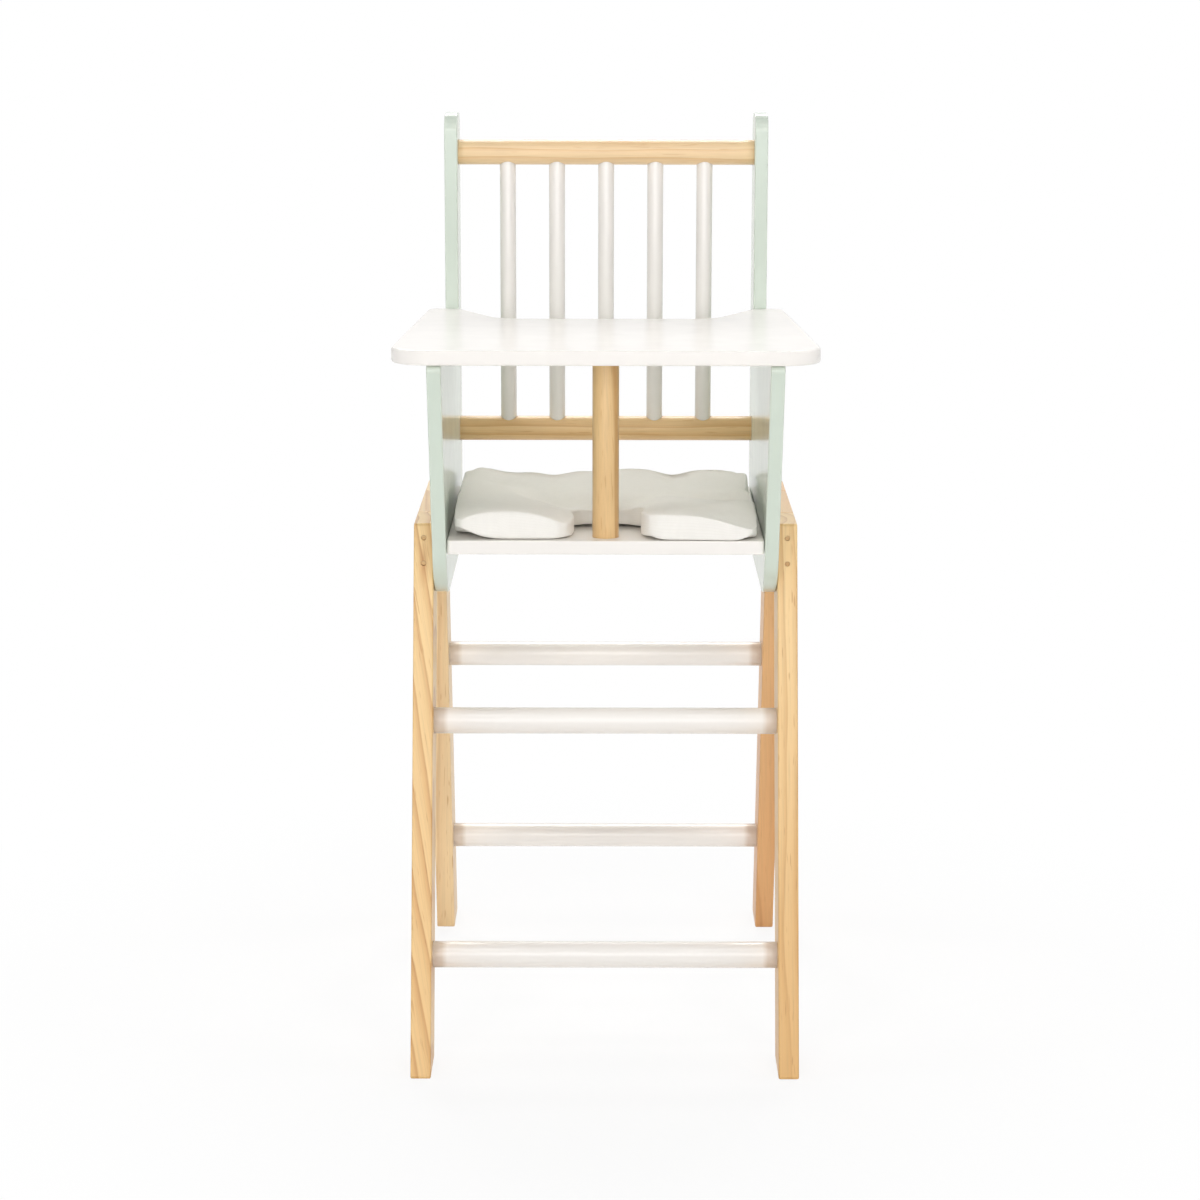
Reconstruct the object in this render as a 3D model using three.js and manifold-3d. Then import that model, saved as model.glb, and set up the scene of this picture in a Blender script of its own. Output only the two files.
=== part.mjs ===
// Doll high chair in painted board and turned pine, with a lift-off tray and a loose seat cushion.
// Millimetres, +Z up. X runs across the chair, -Y is the front, and Z = 0 is the floor.
// The origin lies on the floor, midway between the four feet. "left" is the -X side.

import * as THREE from 'three';
import { mergeVertices } from 'three/addons/utils/BufferGeometryUtils.js';
import Module from 'manifold-3d';

const wasm = await Module();
wasm.setup();

// Driving dimensions: overall
const clearWidth = 203.4;        // between the two side panels
const seatHeight = 337;          // top of the seat board
const armRise = 118.4;           // of the arms above the seat, where the tray rests
const postRise = 260.4;          // of the post tops above the seat
const jointGap = 0.3;            // between any two pieces that meet
const overrun = 3;               // how far every cut runs past the face that it opens

// Side panels: arm and post in one board
const panelThickness = 9;
const panelDrop = 41;             // of its lower edge below the seat
const postDepth = 42;
const panelRear = 118;           // rear edge of the post, behind the middle of the feet
const armFront = 168.7;          // front of the arm, ahead of the middle of the feet
const panelFrontFoot = 103.9;    // front of the panel at its lower edge
const postTopRadius = 12;
const armTipRadius = 4;
const panelToeRadius = 45;
const panelHeelRadius = 10;
const panelEdgeRadius = 2.5;

// Side frames: two leaning legs and the rail that joins their tops
const legThickness = 13;
const legWidth = 44;             // along the floor
const frameRise = 6;             // of the frame's top above the seat
const frameFootReach = 185;      // from the middle to the outer edge of a foot
const frameTopReach = 88;        // from the middle to the outer corner at the top
const frameRailDepth = 34;
const frameCornerRadius = 6;
const footCornerRadius = 4;
const legEdgeRadius = 2.5;

// Turned stock
const rungDiameter = 17;
const railDiameter = 17;
const crotchPostDiameter = 17;
const spindleDiameter = 11;
const spindleCount = 5;
const dowelEndChamfer = 1;
const socketDepth = 5;           // of rungs, rails and crotch post in the boards
const spindleSocketDepth = 8;

// Heights and places of the turned pieces
const lowerRungHeight = 70;
const upperRungDrop = 127.5;     // below the top of the side frames
const lowerRailRise = 42;        // above the seat
const topRailDrop = 26.7;        // below the post tops
const backRailDepthShare = 0.43; // of the post's depth, from its front edge
const crotchPostInset = 16.5;    // behind the front edge of the seat

// Seat board
const seatThickness = 9;
const seatFrontInset = 2.9;      // behind the panels' sloping front edge
const seatRearInset = 18;        // ahead of the panels' rear edge
const seatCornerRadius = 3;
const seatEdgeRadius = 1.5;

// Tray
const trayThickness = 9.4;
const trayFrontOverhang = 2.8;   // ahead of the arms
const trayFrontSideOverhang = 23.9; // outside the panels, at the front
const trayWingSideOverhang = 11.1;  // outside the panels, at the rear
const trayFrontRadius = 24;
const trayWingRadius = 7;
const wingLength = 64;           // of the wings beside the belly cut-out
const bellyFrontInset = 30.7;    // of the cut-out's front corners inside the panels
const bellyCornerRadius = 22;
const wingTipRadius = 5;
const wingPostClearance = 2;
const trayEdgeRadius = 2.5;

// Fasteners
const screwShankDiameter = 4;
const screwHeadDiameter = 8;
const screwHeadDepth = 2.4;
const screwTipLength = 3;
const screwTipShare = 0.35;
const screwRecess = 0.3;         // of a head below the face around it
const hexKeySize = 2.6;          // across the corners of the key socket
const hexKeyDepth = 1.6;
const rungScrewLength = 38;
const railScrewLength = 25;
const seatScrewLength = 41;
const seatScrewPinDistance = 5;  // from the screw's axis to the end of a frame pin
const framePinDiameter = 3;
const framePinRailDepth = 14;    // of a pin past the width of the leg
const framePinDepthShares = [0.265, 0.735]; // of the frame rail's depth, from its top
const framePinRecess = 0.5;
const trayPegDiameter = 5;
const trayPegArmDepth = 13;
const trayPegFrontInset = 38.7;  // behind the front of the arms
const trayPegRearInset = 36;     // ahead of the posts

// Cushion
const cushionFrontSideInset = 6.2;  // inside the panels, at the front
const cushionRearSideInset = 3.7;   // inside the panels, at the rear
const cushionFrontInset = 5.7;      // behind the front edge of the seat
const cushionRearInset = 10;        // ahead of the posts
const notchSideClearance = 11.5;    // beside the crotch post
const notchRearClearance = 16.7;    // behind the crotch post
const notchFlare = 5;
const cushionCornerRadius = 16;
const cushionSeamHeight = 9;     // of the edge seam above the seat
const cushionCrown = 15;         // of the top above the edge seam
const cushionPuffHeight = 6;     // extra fill along the rear edge
const cushionHollow = 5;         // depth of the two slack hollows
const cushionEndRiseShare = 0.5; // of half its length, over which the fill rises from an end
const cushionSideRiseShare = 0.25; // of half its width, over which it rises from a side
const cushionBaseShare = 0.5;    // of the fill, above which the underside lies on the seat
const hollowSpreadShare = 0.5;   // of the way from a hollow's centre to the edges around it

// Counts of facets
const turnedSides = 22;
const boreSides = 14;
const screwSides = 10;
const hexKeySides = 6;
const arcSteps = 3;
const bevelSteps = 2;
const cushionColumns = 38;
const cushionRows = 12;

// Heights that follow from the ones above
const chairHeight = seatHeight + postRise;
const armHeight = seatHeight + armRise;
const panelBottomHeight = seatHeight - panelDrop;
const frameHeight = seatHeight + frameRise;
const upperRungHeight = frameHeight - upperRungDrop;
const lowerRailHeight = seatHeight + lowerRailRise;
const topRailHeight = chairHeight - topRailDrop;
const trayUnderside = armHeight + jointGap;
const seatUnderside = seatHeight - seatThickness;
const seatScrewHeight = (seatHeight + seatUnderside) / 2;
const cushionSeam = seatHeight + cushionSeamHeight;

// Places across the chair, from its middle
const panelInner = clearWidth / 2;
const panelOuter = panelInner + panelThickness;
const legInner = panelOuter + jointGap;
const legOuter = legInner + legThickness;
const trayFrontHalfWidth = panelOuter + trayFrontSideOverhang;
const trayWingHalfWidth = panelOuter + trayWingSideOverhang;
const bellyFrontHalfWidth = panelInner - bellyFrontInset;
const cushionHalfWidthFront = panelInner - cushionFrontSideInset;
const cushionHalfWidthRear = panelInner - cushionRearSideInset;
const notchHalfWidth = crotchPostDiameter / 2 + notchSideClearance;

// Places from front to rear, as distances from the middle
const legSlope = (frameFootReach - frameTopReach) / frameHeight;
const panelFrontSlope = (armFront - panelFrontFoot) / (armHeight - panelBottomHeight);
const postFront = panelRear - postDepth;
const backRailPlace = postFront + postDepth * backRailDepthShare;
const seatFront = panelFrontFoot + panelFrontSlope * panelDrop - seatFrontInset;
const seatRear = panelRear - seatRearInset;
const crotchPostPlace = seatFront - crotchPostInset;
const trayFront = armFront + trayFrontOverhang;
const trayWingRear = postFront - wingPostClearance;
const bellyFrontPlace = trayWingRear - wingLength;
const cushionFront = seatFront - cushionFrontInset;
const cushionRear = postFront - cushionRearInset;
const notchRear = crotchPostPlace - crotchPostDiameter / 2 - notchRearClearance;
const framePinLength = legWidth + framePinRailDepth;

// Finishes
const finishes = {
  mint: { color: '#cbd6c6', roughness: 0.55, metalness: 0 },
  white: { color: '#f3efea', roughness: 0.5, metalness: 0 },
  pine: { color: '#e6be8c', roughness: 0.6, metalness: 0 },
  railPine: { color: '#e3bd8a', roughness: 0.58, metalness: 0 },
  pinWood: { color: '#c79a63', roughness: 0.7, metalness: 0 },
  fabric: { color: '#efebe4', roughness: 0.95, metalness: 0 },
  zinc: { color: '#b9bcc0', roughness: 0.35, metalness: 1 },
};

const chair = new THREE.Group();
chair.name = 'doll_high_chair';

function addPiece(parent, name, geometry, finish) {
  const mesh = new THREE.Mesh(geometry, new THREE.MeshStandardMaterial(finishes[finish]));
  mesh.name = name;
  parent.add(mesh);
  return mesh;
}

// A closed geometry as a solid, for cutting
function toSolid(geometry) {
  const bare = geometry.clone();
  bare.deleteAttribute('normal');
  bare.deleteAttribute('uv');
  const merged = mergeVertices(bare);
  return new wasm.Manifold(new wasm.Mesh({
    numProp: 3,
    vertProperties: new Float32Array(merged.attributes.position.array),
    triVerts: new Uint32Array(merged.index.array),
  }));
}

function toGeometry(solid) {
  const mesh = solid.getMesh();
  const geometry = new THREE.BufferGeometry();
  geometry.setAttribute('position', new THREE.BufferAttribute(mesh.vertProperties, 3));
  geometry.setIndex(new THREE.BufferAttribute(mesh.triVerts, 1));
  geometry.computeVertexNormals();
  return geometry;
}

function cut(geometry, cutters) {
  let solid = toSolid(geometry);
  for (const cutter of cutters) {
    solid = solid.subtract(toSolid(cutter));
  }
  return toGeometry(solid);
}

// An outline through corners given as [x, y, radius], each corner rounded by its radius
function roundedOutline(corners) {
  const shape = new THREE.Shape();
  corners.forEach(([x, y, radius], index) => {
    const corner = new THREE.Vector2(x, y);
    const before = new THREE.Vector2(...corners.at(index - 1));
    const after = new THREE.Vector2(...corners[(index + 1) % corners.length]);
    const toBefore = before.clone().sub(corner).normalize();
    const toAfter = after.clone().sub(corner).normalize();
    const halfAngle = Math.acos(THREE.MathUtils.clamp(toBefore.dot(toAfter), -1, 1)) / 2;
    const reach = radius / Math.tan(halfAngle);
    const start = corner.clone().addScaledVector(toBefore, reach);
    const end = corner.clone().addScaledVector(toAfter, reach);
    if (index === 0) shape.moveTo(start.x, start.y);
    else shape.lineTo(start.x, start.y);
    if (radius > 0) {
      const inward = toBefore.clone().add(toAfter).normalize();
      const centre = corner.clone().addScaledVector(inward, radius / Math.sin(halfAngle));
      const from = start.clone().sub(centre).angle();
      const to = end.clone().sub(centre).angle();
      const clockwise = toBefore.cross(toAfter) > 0;
      shape.absarc(centre.x, centre.y, radius, from, to, clockwise);
    }
  });
  shape.closePath();
  return shape;
}

// A board of an outline, its long edges rounded, lying from 0 to its thickness
function board(shape, thickness, edgeRadius) {
  const geometry = new THREE.ExtrudeGeometry(shape, {
    depth: thickness - 2 * edgeRadius,
    bevelEnabled: true,
    bevelThickness: edgeRadius,
    bevelSize: edgeRadius,
    bevelOffset: -edgeRadius,
    bevelSegments: bevelSteps,
    curveSegments: arcSteps,
  });
  return geometry.translate(0, 0, edgeRadius);
}

// Turns an outline drawn in depth and height into a board that stands along the chair's side
function standUpright(geometry, inner) {
  const upright = new THREE.Matrix4().makeBasis(
    new THREE.Vector3(0, 1, 0),
    new THREE.Vector3(0, 0, 1),
    new THREE.Vector3(1, 0, 0),
  );
  return geometry.applyMatrix4(upright).translate(inner, 0, 0);
}

// The inner plane of a board on the given side, whose outline starts there in +X
function boardStart(side, inner, thickness) {
  return side > 0 ? inner : -inner - thickness;
}

function cylinderAlong(axis, diameter, length, sides) {
  const geometry = new THREE.CylinderGeometry(diameter / 2, diameter / 2, length, sides);
  if (axis === 'x') geometry.rotateZ(Math.PI / 2);
  if (axis === 'z') geometry.rotateX(Math.PI / 2);
  return geometry;
}

// Turned stock along its own Y axis, with a small chamfer at each end
function turned(diameter, length, sides) {
  const radius = diameter / 2;
  const half = length / 2;
  const profile = [
    new THREE.Vector2(0, -half),
    new THREE.Vector2(radius - dowelEndChamfer, -half),
    new THREE.Vector2(radius, -half + dowelEndChamfer),
    new THREE.Vector2(radius, half - dowelEndChamfer),
    new THREE.Vector2(radius - dowelEndChamfer, half),
    new THREE.Vector2(0, half),
  ];
  return new THREE.LatheGeometry(profile, sides);
}

// A countersunk screw along -Y, the top of its head at 0
function screwBody(length) {
  const shank = screwShankDiameter / 2;
  const profile = [
    new THREE.Vector2(0, -length),
    new THREE.Vector2(shank * screwTipShare, -length),
    new THREE.Vector2(shank, -length + screwTipLength),
    new THREE.Vector2(shank, -screwHeadDepth),
    new THREE.Vector2(screwHeadDiameter / 2, 0),
    new THREE.Vector2(0, 0),
  ];
  const body = new THREE.LatheGeometry(profile, screwSides);
  const keyLength = hexKeyDepth + overrun;
  const key = new THREE.CylinderGeometry(hexKeySize / 2, hexKeySize / 2, keyLength, hexKeySides);
  key.translate(0, (overrun - hexKeyDepth) / 2, 0);
  return cut(body, [key]);
}

// The hole for that screw, a gap wider all round and open past the face
function screwHole(length) {
  const shank = screwShankDiameter / 2 + jointGap;
  const head = screwHeadDiameter / 2 + jointGap;
  const profile = [
    new THREE.Vector2(0, -length - jointGap),
    new THREE.Vector2(shank, -length - jointGap),
    new THREE.Vector2(shank, -screwHeadDepth - jointGap),
    new THREE.Vector2(head, -jointGap),
    new THREE.Vector2(head, screwRecess + overrun),
    new THREE.Vector2(0, screwRecess + overrun),
  ];
  return new THREE.LatheGeometry(profile, screwSides);
}

// Turns a screw, or its hole, to point inwards from the outer face of its side
function aimScrew(geometry, side, outer, place, height) {
  geometry.rotateZ(-side * Math.PI / 2);
  return geometry.translate(side * (outer - screwRecess), place, height);
}

// Every screw of the chair: its name, side, place and length
function screwPlaces() {
  const places = [];
  for (const [sideName, side] of [['left', -1], ['right', 1]]) {
    for (const [endName, end] of [['front', -1], ['rear', 1]]) {
      for (const [levelName, height] of [['upper', upperRungHeight], ['lower', lowerRungHeight]]) {
        places.push({
          kind: 'rung', name: `rung_screw_${endName}_${levelName}_${sideName}`,
          side, outer: legOuter, place: end * rungPlace(height), height, length: rungScrewLength,
        });
      }
      places.push({
        kind: 'seat', name: `seat_screw_${endName}_${sideName}`,
        side, outer: legOuter, place: end * seatScrewPlace(),
        height: seatScrewHeight, length: seatScrewLength,
      });
    }
    for (const [levelName, height] of [['top', topRailHeight], ['lower', lowerRailHeight]]) {
      places.push({
        kind: 'rail', name: `rail_screw_${levelName}_${sideName}`,
        side, outer: panelOuter, place: backRailPlace, height, length: railScrewLength,
      });
    }
  }
  return places;
}

function screwHoles(test) {
  return screwPlaces().filter(test).map((at) => (
    aimScrew(screwHole(at.length), at.side, at.outer, at.place, at.height)
  ));
}

// Distance of a leg's outer edge, and of its centre line, from the middle at some height
function legEdge(height) {
  return frameFootReach - legSlope * height;
}

function rungPlace(height) {
  return legEdge(height) - legWidth / 2;
}

// Sockets for turned ends, cut into the inner face of a board that stands on one side
function sideSocket(side, inner, diameter, place, height) {
  const length = socketDepth + overrun;
  const socket = cylinderAlong('x', diameter + 2 * jointGap, length, turnedSides);
  return socket.translate(side * (inner + socketDepth - length / 2), place, height);
}

// Frame pins lie along Y, through a leg and into the end of the frame rail
function framePinHeight(share) {
  return frameHeight - frameRailDepth * share;
}

function framePinOuterEnd(height) {
  return legEdge(height) - framePinRecess;
}

// The seat screws pass through the frame rail between the ends of the upper frame pins
function seatScrewPlace() {
  const pinInnerEnd = framePinOuterEnd(framePinHeight(framePinDepthShares[0])) - framePinLength;
  return pinInnerEnd - seatScrewPinDistance;
}

function framePinPlaces() {
  const places = [];
  for (const [sideName, side] of [['left', -1], ['right', 1]]) {
    for (const [endName, end] of [['front', -1], ['rear', 1]]) {
      framePinDepthShares.forEach((share, index) => {
        const height = framePinHeight(share);
        places.push({
          name: `frame_pin_${endName}_${index === 0 ? 'upper' : 'lower'}_${sideName}`,
          side, end, height, x: side * (legInner + legThickness / 2),
          y: end * (framePinOuterEnd(height) - framePinLength / 2),
        });
      });
    }
  }
  return places;
}

function framePinHoles(test) {
  const openLength = framePinLength + 2 * jointGap + 2 * overrun;
  return framePinPlaces().filter(test).map((at) => {
    const hole = cylinderAlong('y', framePinDiameter + 2 * jointGap, openLength, boreSides);
    return hole.translate(at.x, at.y + at.end * (overrun - jointGap), at.height);
  });
}

// Tray pegs: short pins between the tray's underside and the tops of the arms
function trayPegPlaces() {
  const places = [];
  const frontPlace = trayPegFrontInset - armFront;
  const rearPlace = postFront - trayPegRearInset;
  for (const [sideName, side] of [['left', -1], ['right', 1]]) {
    for (const [endName, y] of [['front', frontPlace], ['rear', rearPlace]]) {
      places.push({
        name: `tray_peg_${endName}_${sideName}`,
        side, x: side * (panelInner + panelThickness / 2), y,
      });
    }
  }
  return places;
}

const trayPegTop = trayUnderside + socketDepth - jointGap;
const trayPegBottom = armHeight - trayPegArmDepth;

function trayPegHole(at) {
  const length = trayPegTop - trayPegBottom + 2 * jointGap;
  const hole = cylinderAlong('z', trayPegDiameter + 2 * jointGap, length, boreSides);
  return hole.translate(at.x, at.y, (trayPegTop + trayPegBottom) / 2);
}

function sidePanel(side) {
  const outline = roundedOutline([
    [-panelFrontFoot, panelBottomHeight, panelToeRadius],
    [panelRear, panelBottomHeight, panelHeelRadius],
    [panelRear, chairHeight, postTopRadius],
    [postFront, chairHeight, postTopRadius],
    [postFront, armHeight, 0],
    [-armFront, armHeight, armTipRadius],
  ]);
  const blank = standUpright(
    board(outline, panelThickness, panelEdgeRadius),
    boardStart(side, panelInner, panelThickness),
  );
  const sockets = [topRailHeight, lowerRailHeight].map((height) => (
    sideSocket(side, panelInner, railDiameter, backRailPlace, height)
  ));
  const holes = screwHoles((at) => at.side === side && at.kind !== 'rung');
  const pegs = trayPegPlaces().filter((at) => at.side === side).map(trayPegHole);
  return cut(blank, [...sockets, ...holes, ...pegs]);
}

// The outline of the front leg, in depth and height; the rear leg mirrors it
function legOutline(end) {
  const footOuter = end * frameFootReach;
  const footInner = end * (frameFootReach - legWidth);
  const topOuter = end * frameTopReach;
  const topInner = end * (frameTopReach - legWidth);
  const corners = [
    [footOuter, 0, footCornerRadius],
    [footInner, 0, footCornerRadius],
    [topInner, frameHeight, 0],
    [topOuter, frameHeight, frameCornerRadius],
  ];
  return roundedOutline(end < 0 ? corners : corners.reverse());
}

function leg(side, end) {
  const blank = standUpright(
    board(legOutline(end), legThickness, legEdgeRadius),
    boardStart(side, legInner, legThickness),
  );
  const sockets = [upperRungHeight, lowerRungHeight].map((height) => (
    sideSocket(side, legInner, rungDiameter, end * rungPlace(height), height)
  ));
  const holes = screwHoles((at) => (
    at.side === side && at.kind === 'rung' && Math.sign(at.place) === end
  ));
  const pins = framePinHoles((at) => at.side === side && at.end === end);
  return cut(blank, [...sockets, ...holes, ...pins]);
}

// The rail between the tops of the two legs, its ends cut to the legs' lean
function frameRail(side) {
  const reachAt = (height) => legEdge(height) - legWidth - jointGap;
  const bottom = frameHeight - frameRailDepth;
  const outline = roundedOutline([
    [-reachAt(bottom), bottom, 0],
    [reachAt(bottom), bottom, 0],
    [reachAt(frameHeight), frameHeight, 0],
    [-reachAt(frameHeight), frameHeight, 0],
  ]);
  const blank = standUpright(
    board(outline, legThickness, legEdgeRadius),
    boardStart(side, legInner, legThickness),
  );
  const holes = screwHoles((at) => at.side === side && at.kind === 'seat');
  const pins = framePinHoles((at) => at.side === side);
  return cut(blank, [...holes, ...pins]);
}

function seatBoard() {
  const half = panelInner - jointGap;
  const outline = roundedOutline([
    [-half, -seatFront, seatCornerRadius],
    [half, -seatFront, seatCornerRadius],
    [half, seatRear, seatCornerRadius],
    [-half, seatRear, seatCornerRadius],
  ]);
  const blank = board(outline, seatThickness, seatEdgeRadius).translate(0, 0, seatUnderside);
  const length = seatThickness + 2 * overrun;
  const postHole = cylinderAlong('z', crotchPostDiameter + 2 * jointGap, length, turnedSides);
  postHole.translate(0, -crotchPostPlace, seatUnderside + seatThickness / 2);
  return cut(blank, [postHole, ...screwHoles((at) => at.kind === 'seat')]);
}

function tray() {
  const outline = roundedOutline([
    [-trayFrontHalfWidth, -trayFront, trayFrontRadius],
    [trayFrontHalfWidth, -trayFront, trayFrontRadius],
    [trayWingHalfWidth, trayWingRear, trayWingRadius],
    [panelInner, trayWingRear, wingTipRadius],
    [bellyFrontHalfWidth, bellyFrontPlace, bellyCornerRadius],
    [-bellyFrontHalfWidth, bellyFrontPlace, bellyCornerRadius],
    [-panelInner, trayWingRear, wingTipRadius],
    [-trayWingHalfWidth, trayWingRear, trayWingRadius],
  ]);
  const blank = board(outline, trayThickness, trayEdgeRadius).translate(0, 0, trayUnderside);
  const length = socketDepth + overrun;
  const postSocket = cylinderAlong('z', crotchPostDiameter + 2 * jointGap, length, turnedSides);
  postSocket.translate(0, -crotchPostPlace, trayUnderside + socketDepth - length / 2);
  return cut(blank, [postSocket, ...trayPegPlaces().map(trayPegHole)]);
}

// Spindles stand in blind holes between the two back rails
const spindlePitch = clearWidth / (spindleCount + 1);
const spindleBottom = lowerRailHeight + railDiameter / 2 - spindleSocketDepth + jointGap;
const spindleTop = topRailHeight - railDiameter / 2 + spindleSocketDepth - jointGap;

function spindlePlace(index) {
  return (index - (spindleCount - 1) / 2) * spindlePitch;
}

// A back rail, with its row of holes on the given face, 1 above or -1 below
function backRail(height, face) {
  const length = clearWidth + 2 * (socketDepth - jointGap);
  const blank = turned(railDiameter, length, turnedSides);
  blank.rotateZ(Math.PI / 2).translate(0, backRailPlace, height);
  const holeLength = spindleSocketDepth + overrun;
  const holes = Array.from({ length: spindleCount }, (_, index) => {
    const hole = cylinderAlong('z', spindleDiameter + 2 * jointGap, holeLength, boreSides);
    const middle = height + face * (railDiameter / 2 - spindleSocketDepth + holeLength / 2);
    return hole.translate(spindlePlace(index), backRailPlace, middle);
  });
  return cut(blank, [...holes, ...screwHoles((at) => at.kind === 'rail' && at.height === height)]);
}

function rung(height, end) {
  const length = 2 * (legInner + socketDepth - jointGap);
  const place = end * rungPlace(height);
  const blank = turned(rungDiameter, length, turnedSides);
  blank.rotateZ(Math.PI / 2).translate(0, place, height);
  return cut(blank, screwHoles((at) => (
    at.kind === 'rung' && at.place === place && at.height === height
  )));
}

// The cushion is a grid of columns across and rows from front to rear, a top and a bottom skin
// that meet in the seam all round. The front edge steps back at the notch for the crotch post.

function smoothStep(from, to, value) {
  return THREE.MathUtils.smoothstep(value, from, to);
}

// How far a rounded corner draws the edge in, at some distance from the side
function cornerDraw(fromSide) {
  const into = Math.min(fromSide, cushionCornerRadius);
  const rise = Math.sqrt(cushionCornerRadius ** 2 - (cushionCornerRadius - into) ** 2);
  return cushionCornerRadius - rise;
}

function cushionEdges(x) {
  const fromSide = cushionHalfWidthFront - Math.abs(x);
  const inNotch = 1 - smoothStep(notchHalfWidth, notchHalfWidth + notchFlare, Math.abs(x));
  const drawnIn = cornerDraw(Math.max(fromSide, 0));
  return {
    front: -cushionFront + drawnIn + (cushionFront - notchRear) * inNotch,
    rear: cushionRear - drawnIn,
  };
}

// Column places: even, with more of them across the sides of the notch
function cushionColumnPlace(share) {
  const evenShare = 2 * share - 1;
  const notchShare = (notchHalfWidth + notchFlare / 2) / cushionHalfWidthFront;
  const pull = Math.sin(Math.PI * Math.abs(evenShare) / notchShare) * notchShare / (2 * Math.PI);
  const drawn = Math.abs(evenShare) < 2 * notchShare ? pull : 0;
  return Math.sign(evenShare) * (Math.abs(evenShare) + drawn) * cushionHalfWidthFront;
}

// A quarter-round rise from 0 at the edge to 1 at the given distance from it
function roundRise(distance, reach) {
  return Math.sqrt(1 - (1 - Math.min(1, distance / reach)) ** 2);
}

function cushionFill(x, y, edges) {
  const fromEnds = Math.min(y - edges.front, edges.rear - y);
  const fromSides = cushionHalfWidthFront - Math.abs(x);
  const endReach = cushionEndRiseShare * (edges.rear - edges.front) / 2;
  const sideReach = cushionSideRiseShare * cushionHalfWidthFront;
  return roundRise(fromEnds, endReach) * roundRise(fromSides, sideReach);
}

function cushionTop(x, y, fill) {
  const rearShare = smoothStep(0, cushionRear, y);
  const puffs = (1 + Math.cos(2 * Math.PI * x / cushionHalfWidthFront)) / 2;
  const hollowCentre = cushionHalfWidthFront / 2;
  const across = (Math.abs(x) - hollowCentre) / (hollowCentre * hollowSpreadShare);
  const along = y / (cushionRear * hollowSpreadShare);
  const hollow = Math.exp(-(across ** 2) - along ** 2);
  const puff = cushionPuffHeight * rearShare * puffs;
  return cushionSeam + fill * (cushionCrown + puff - cushionHollow * hollow);
}

function cushion() {
  const positions = [];
  const triangles = [];
  const indexOf = new Map();
  const rest = seatHeight + jointGap;
  function vertex(column, row, skin) {
    const onSeam = column === 0 || column === cushionColumns || row === 0 || row === cushionRows;
    const key = `${column} ${row} ${onSeam ? 'seam' : skin}`;
    if (indexOf.has(key)) return indexOf.get(key);
    const x = cushionColumnPlace(column / cushionColumns);
    const edges = cushionEdges(x);
    const y = THREE.MathUtils.lerp(edges.front, edges.rear, row / cushionRows);
    const widening = smoothStep(-cushionFront, cushionRear, y);
    const halfWidth = THREE.MathUtils.lerp(cushionHalfWidthFront, cushionHalfWidthRear, widening);
    const fill = onSeam ? 0 : cushionFill(x, y, edges);
    const based = Math.min(1, fill / cushionBaseShare);
    const bottom = THREE.MathUtils.lerp(cushionSeam, rest, based);
    const z = skin === 'top' ? cushionTop(x, y, fill) : bottom;
    positions.push(x * halfWidth / cushionHalfWidthFront, y, z);
    indexOf.set(key, positions.length / 3 - 1);
    return positions.length / 3 - 1;
  }
  for (let column = 0; column < cushionColumns; column += 1) {
    for (let row = 0; row < cushionRows; row += 1) {
      for (const skin of ['top', 'bottom']) {
        const a = vertex(column, row, skin);
        const b = vertex(column + 1, row, skin);
        const c = vertex(column + 1, row + 1, skin);
        const d = vertex(column, row + 1, skin);
        if (skin === 'top') triangles.push(a, b, c, a, c, d);
        else triangles.push(a, c, b, a, d, c);
      }
    }
  }
  const geometry = new THREE.BufferGeometry();
  geometry.setAttribute('position', new THREE.Float32BufferAttribute(positions, 3));
  geometry.setIndex(triangles);
  geometry.computeVertexNormals();
  return geometry;
}

// Assembly: the fixed frame, the lift-off tray and the loose cushion
function addSides(parent) {
  for (const [sideName, side] of [['left', -1], ['right', 1]]) {
    addPiece(parent, `side_panel_${sideName}`, sidePanel(side), 'mint');
    addPiece(parent, `front_leg_${sideName}`, leg(side, -1), 'pine');
    addPiece(parent, `rear_leg_${sideName}`, leg(side, 1), 'pine');
    addPiece(parent, `frame_rail_${sideName}`, frameRail(side), 'pine');
  }
}

function addCrosspieces(parent) {
  addPiece(parent, 'seat_board', seatBoard(), 'white');
  addPiece(parent, 'top_back_rail', backRail(topRailHeight, -1), 'railPine');
  addPiece(parent, 'lower_back_rail', backRail(lowerRailHeight, 1), 'railPine');
  for (const [endName, end] of [['front', -1], ['rear', 1]]) {
    addPiece(parent, `${endName}_upper_rung`, rung(upperRungHeight, end), 'white');
    addPiece(parent, `${endName}_lower_rung`, rung(lowerRungHeight, end), 'white');
  }
}

function addSpindles(parent) {
  const length = spindleTop - spindleBottom;
  for (let index = 0; index < spindleCount; index += 1) {
    const spindle = turned(spindleDiameter, length, turnedSides);
    const mesh = addPiece(parent, `back_spindle_${index + 1}`, spindle, 'white');
    mesh.rotation.x = Math.PI / 2;
    mesh.position.set(spindlePlace(index), backRailPlace, (spindleTop + spindleBottom) / 2);
  }
}

function addFasteners(parent) {
  for (const at of screwPlaces()) {
    const mesh = addPiece(parent, at.name, screwBody(at.length), 'zinc');
    mesh.rotation.z = -at.side * Math.PI / 2;
    mesh.position.set(at.side * (at.outer - screwRecess), at.place, at.height);
  }
  for (const at of framePinPlaces()) {
    const pin = cylinderAlong('y', framePinDiameter, framePinLength, screwSides);
    addPiece(parent, at.name, pin, 'pinWood').position.set(at.x, at.y, at.height);
  }
}

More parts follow.
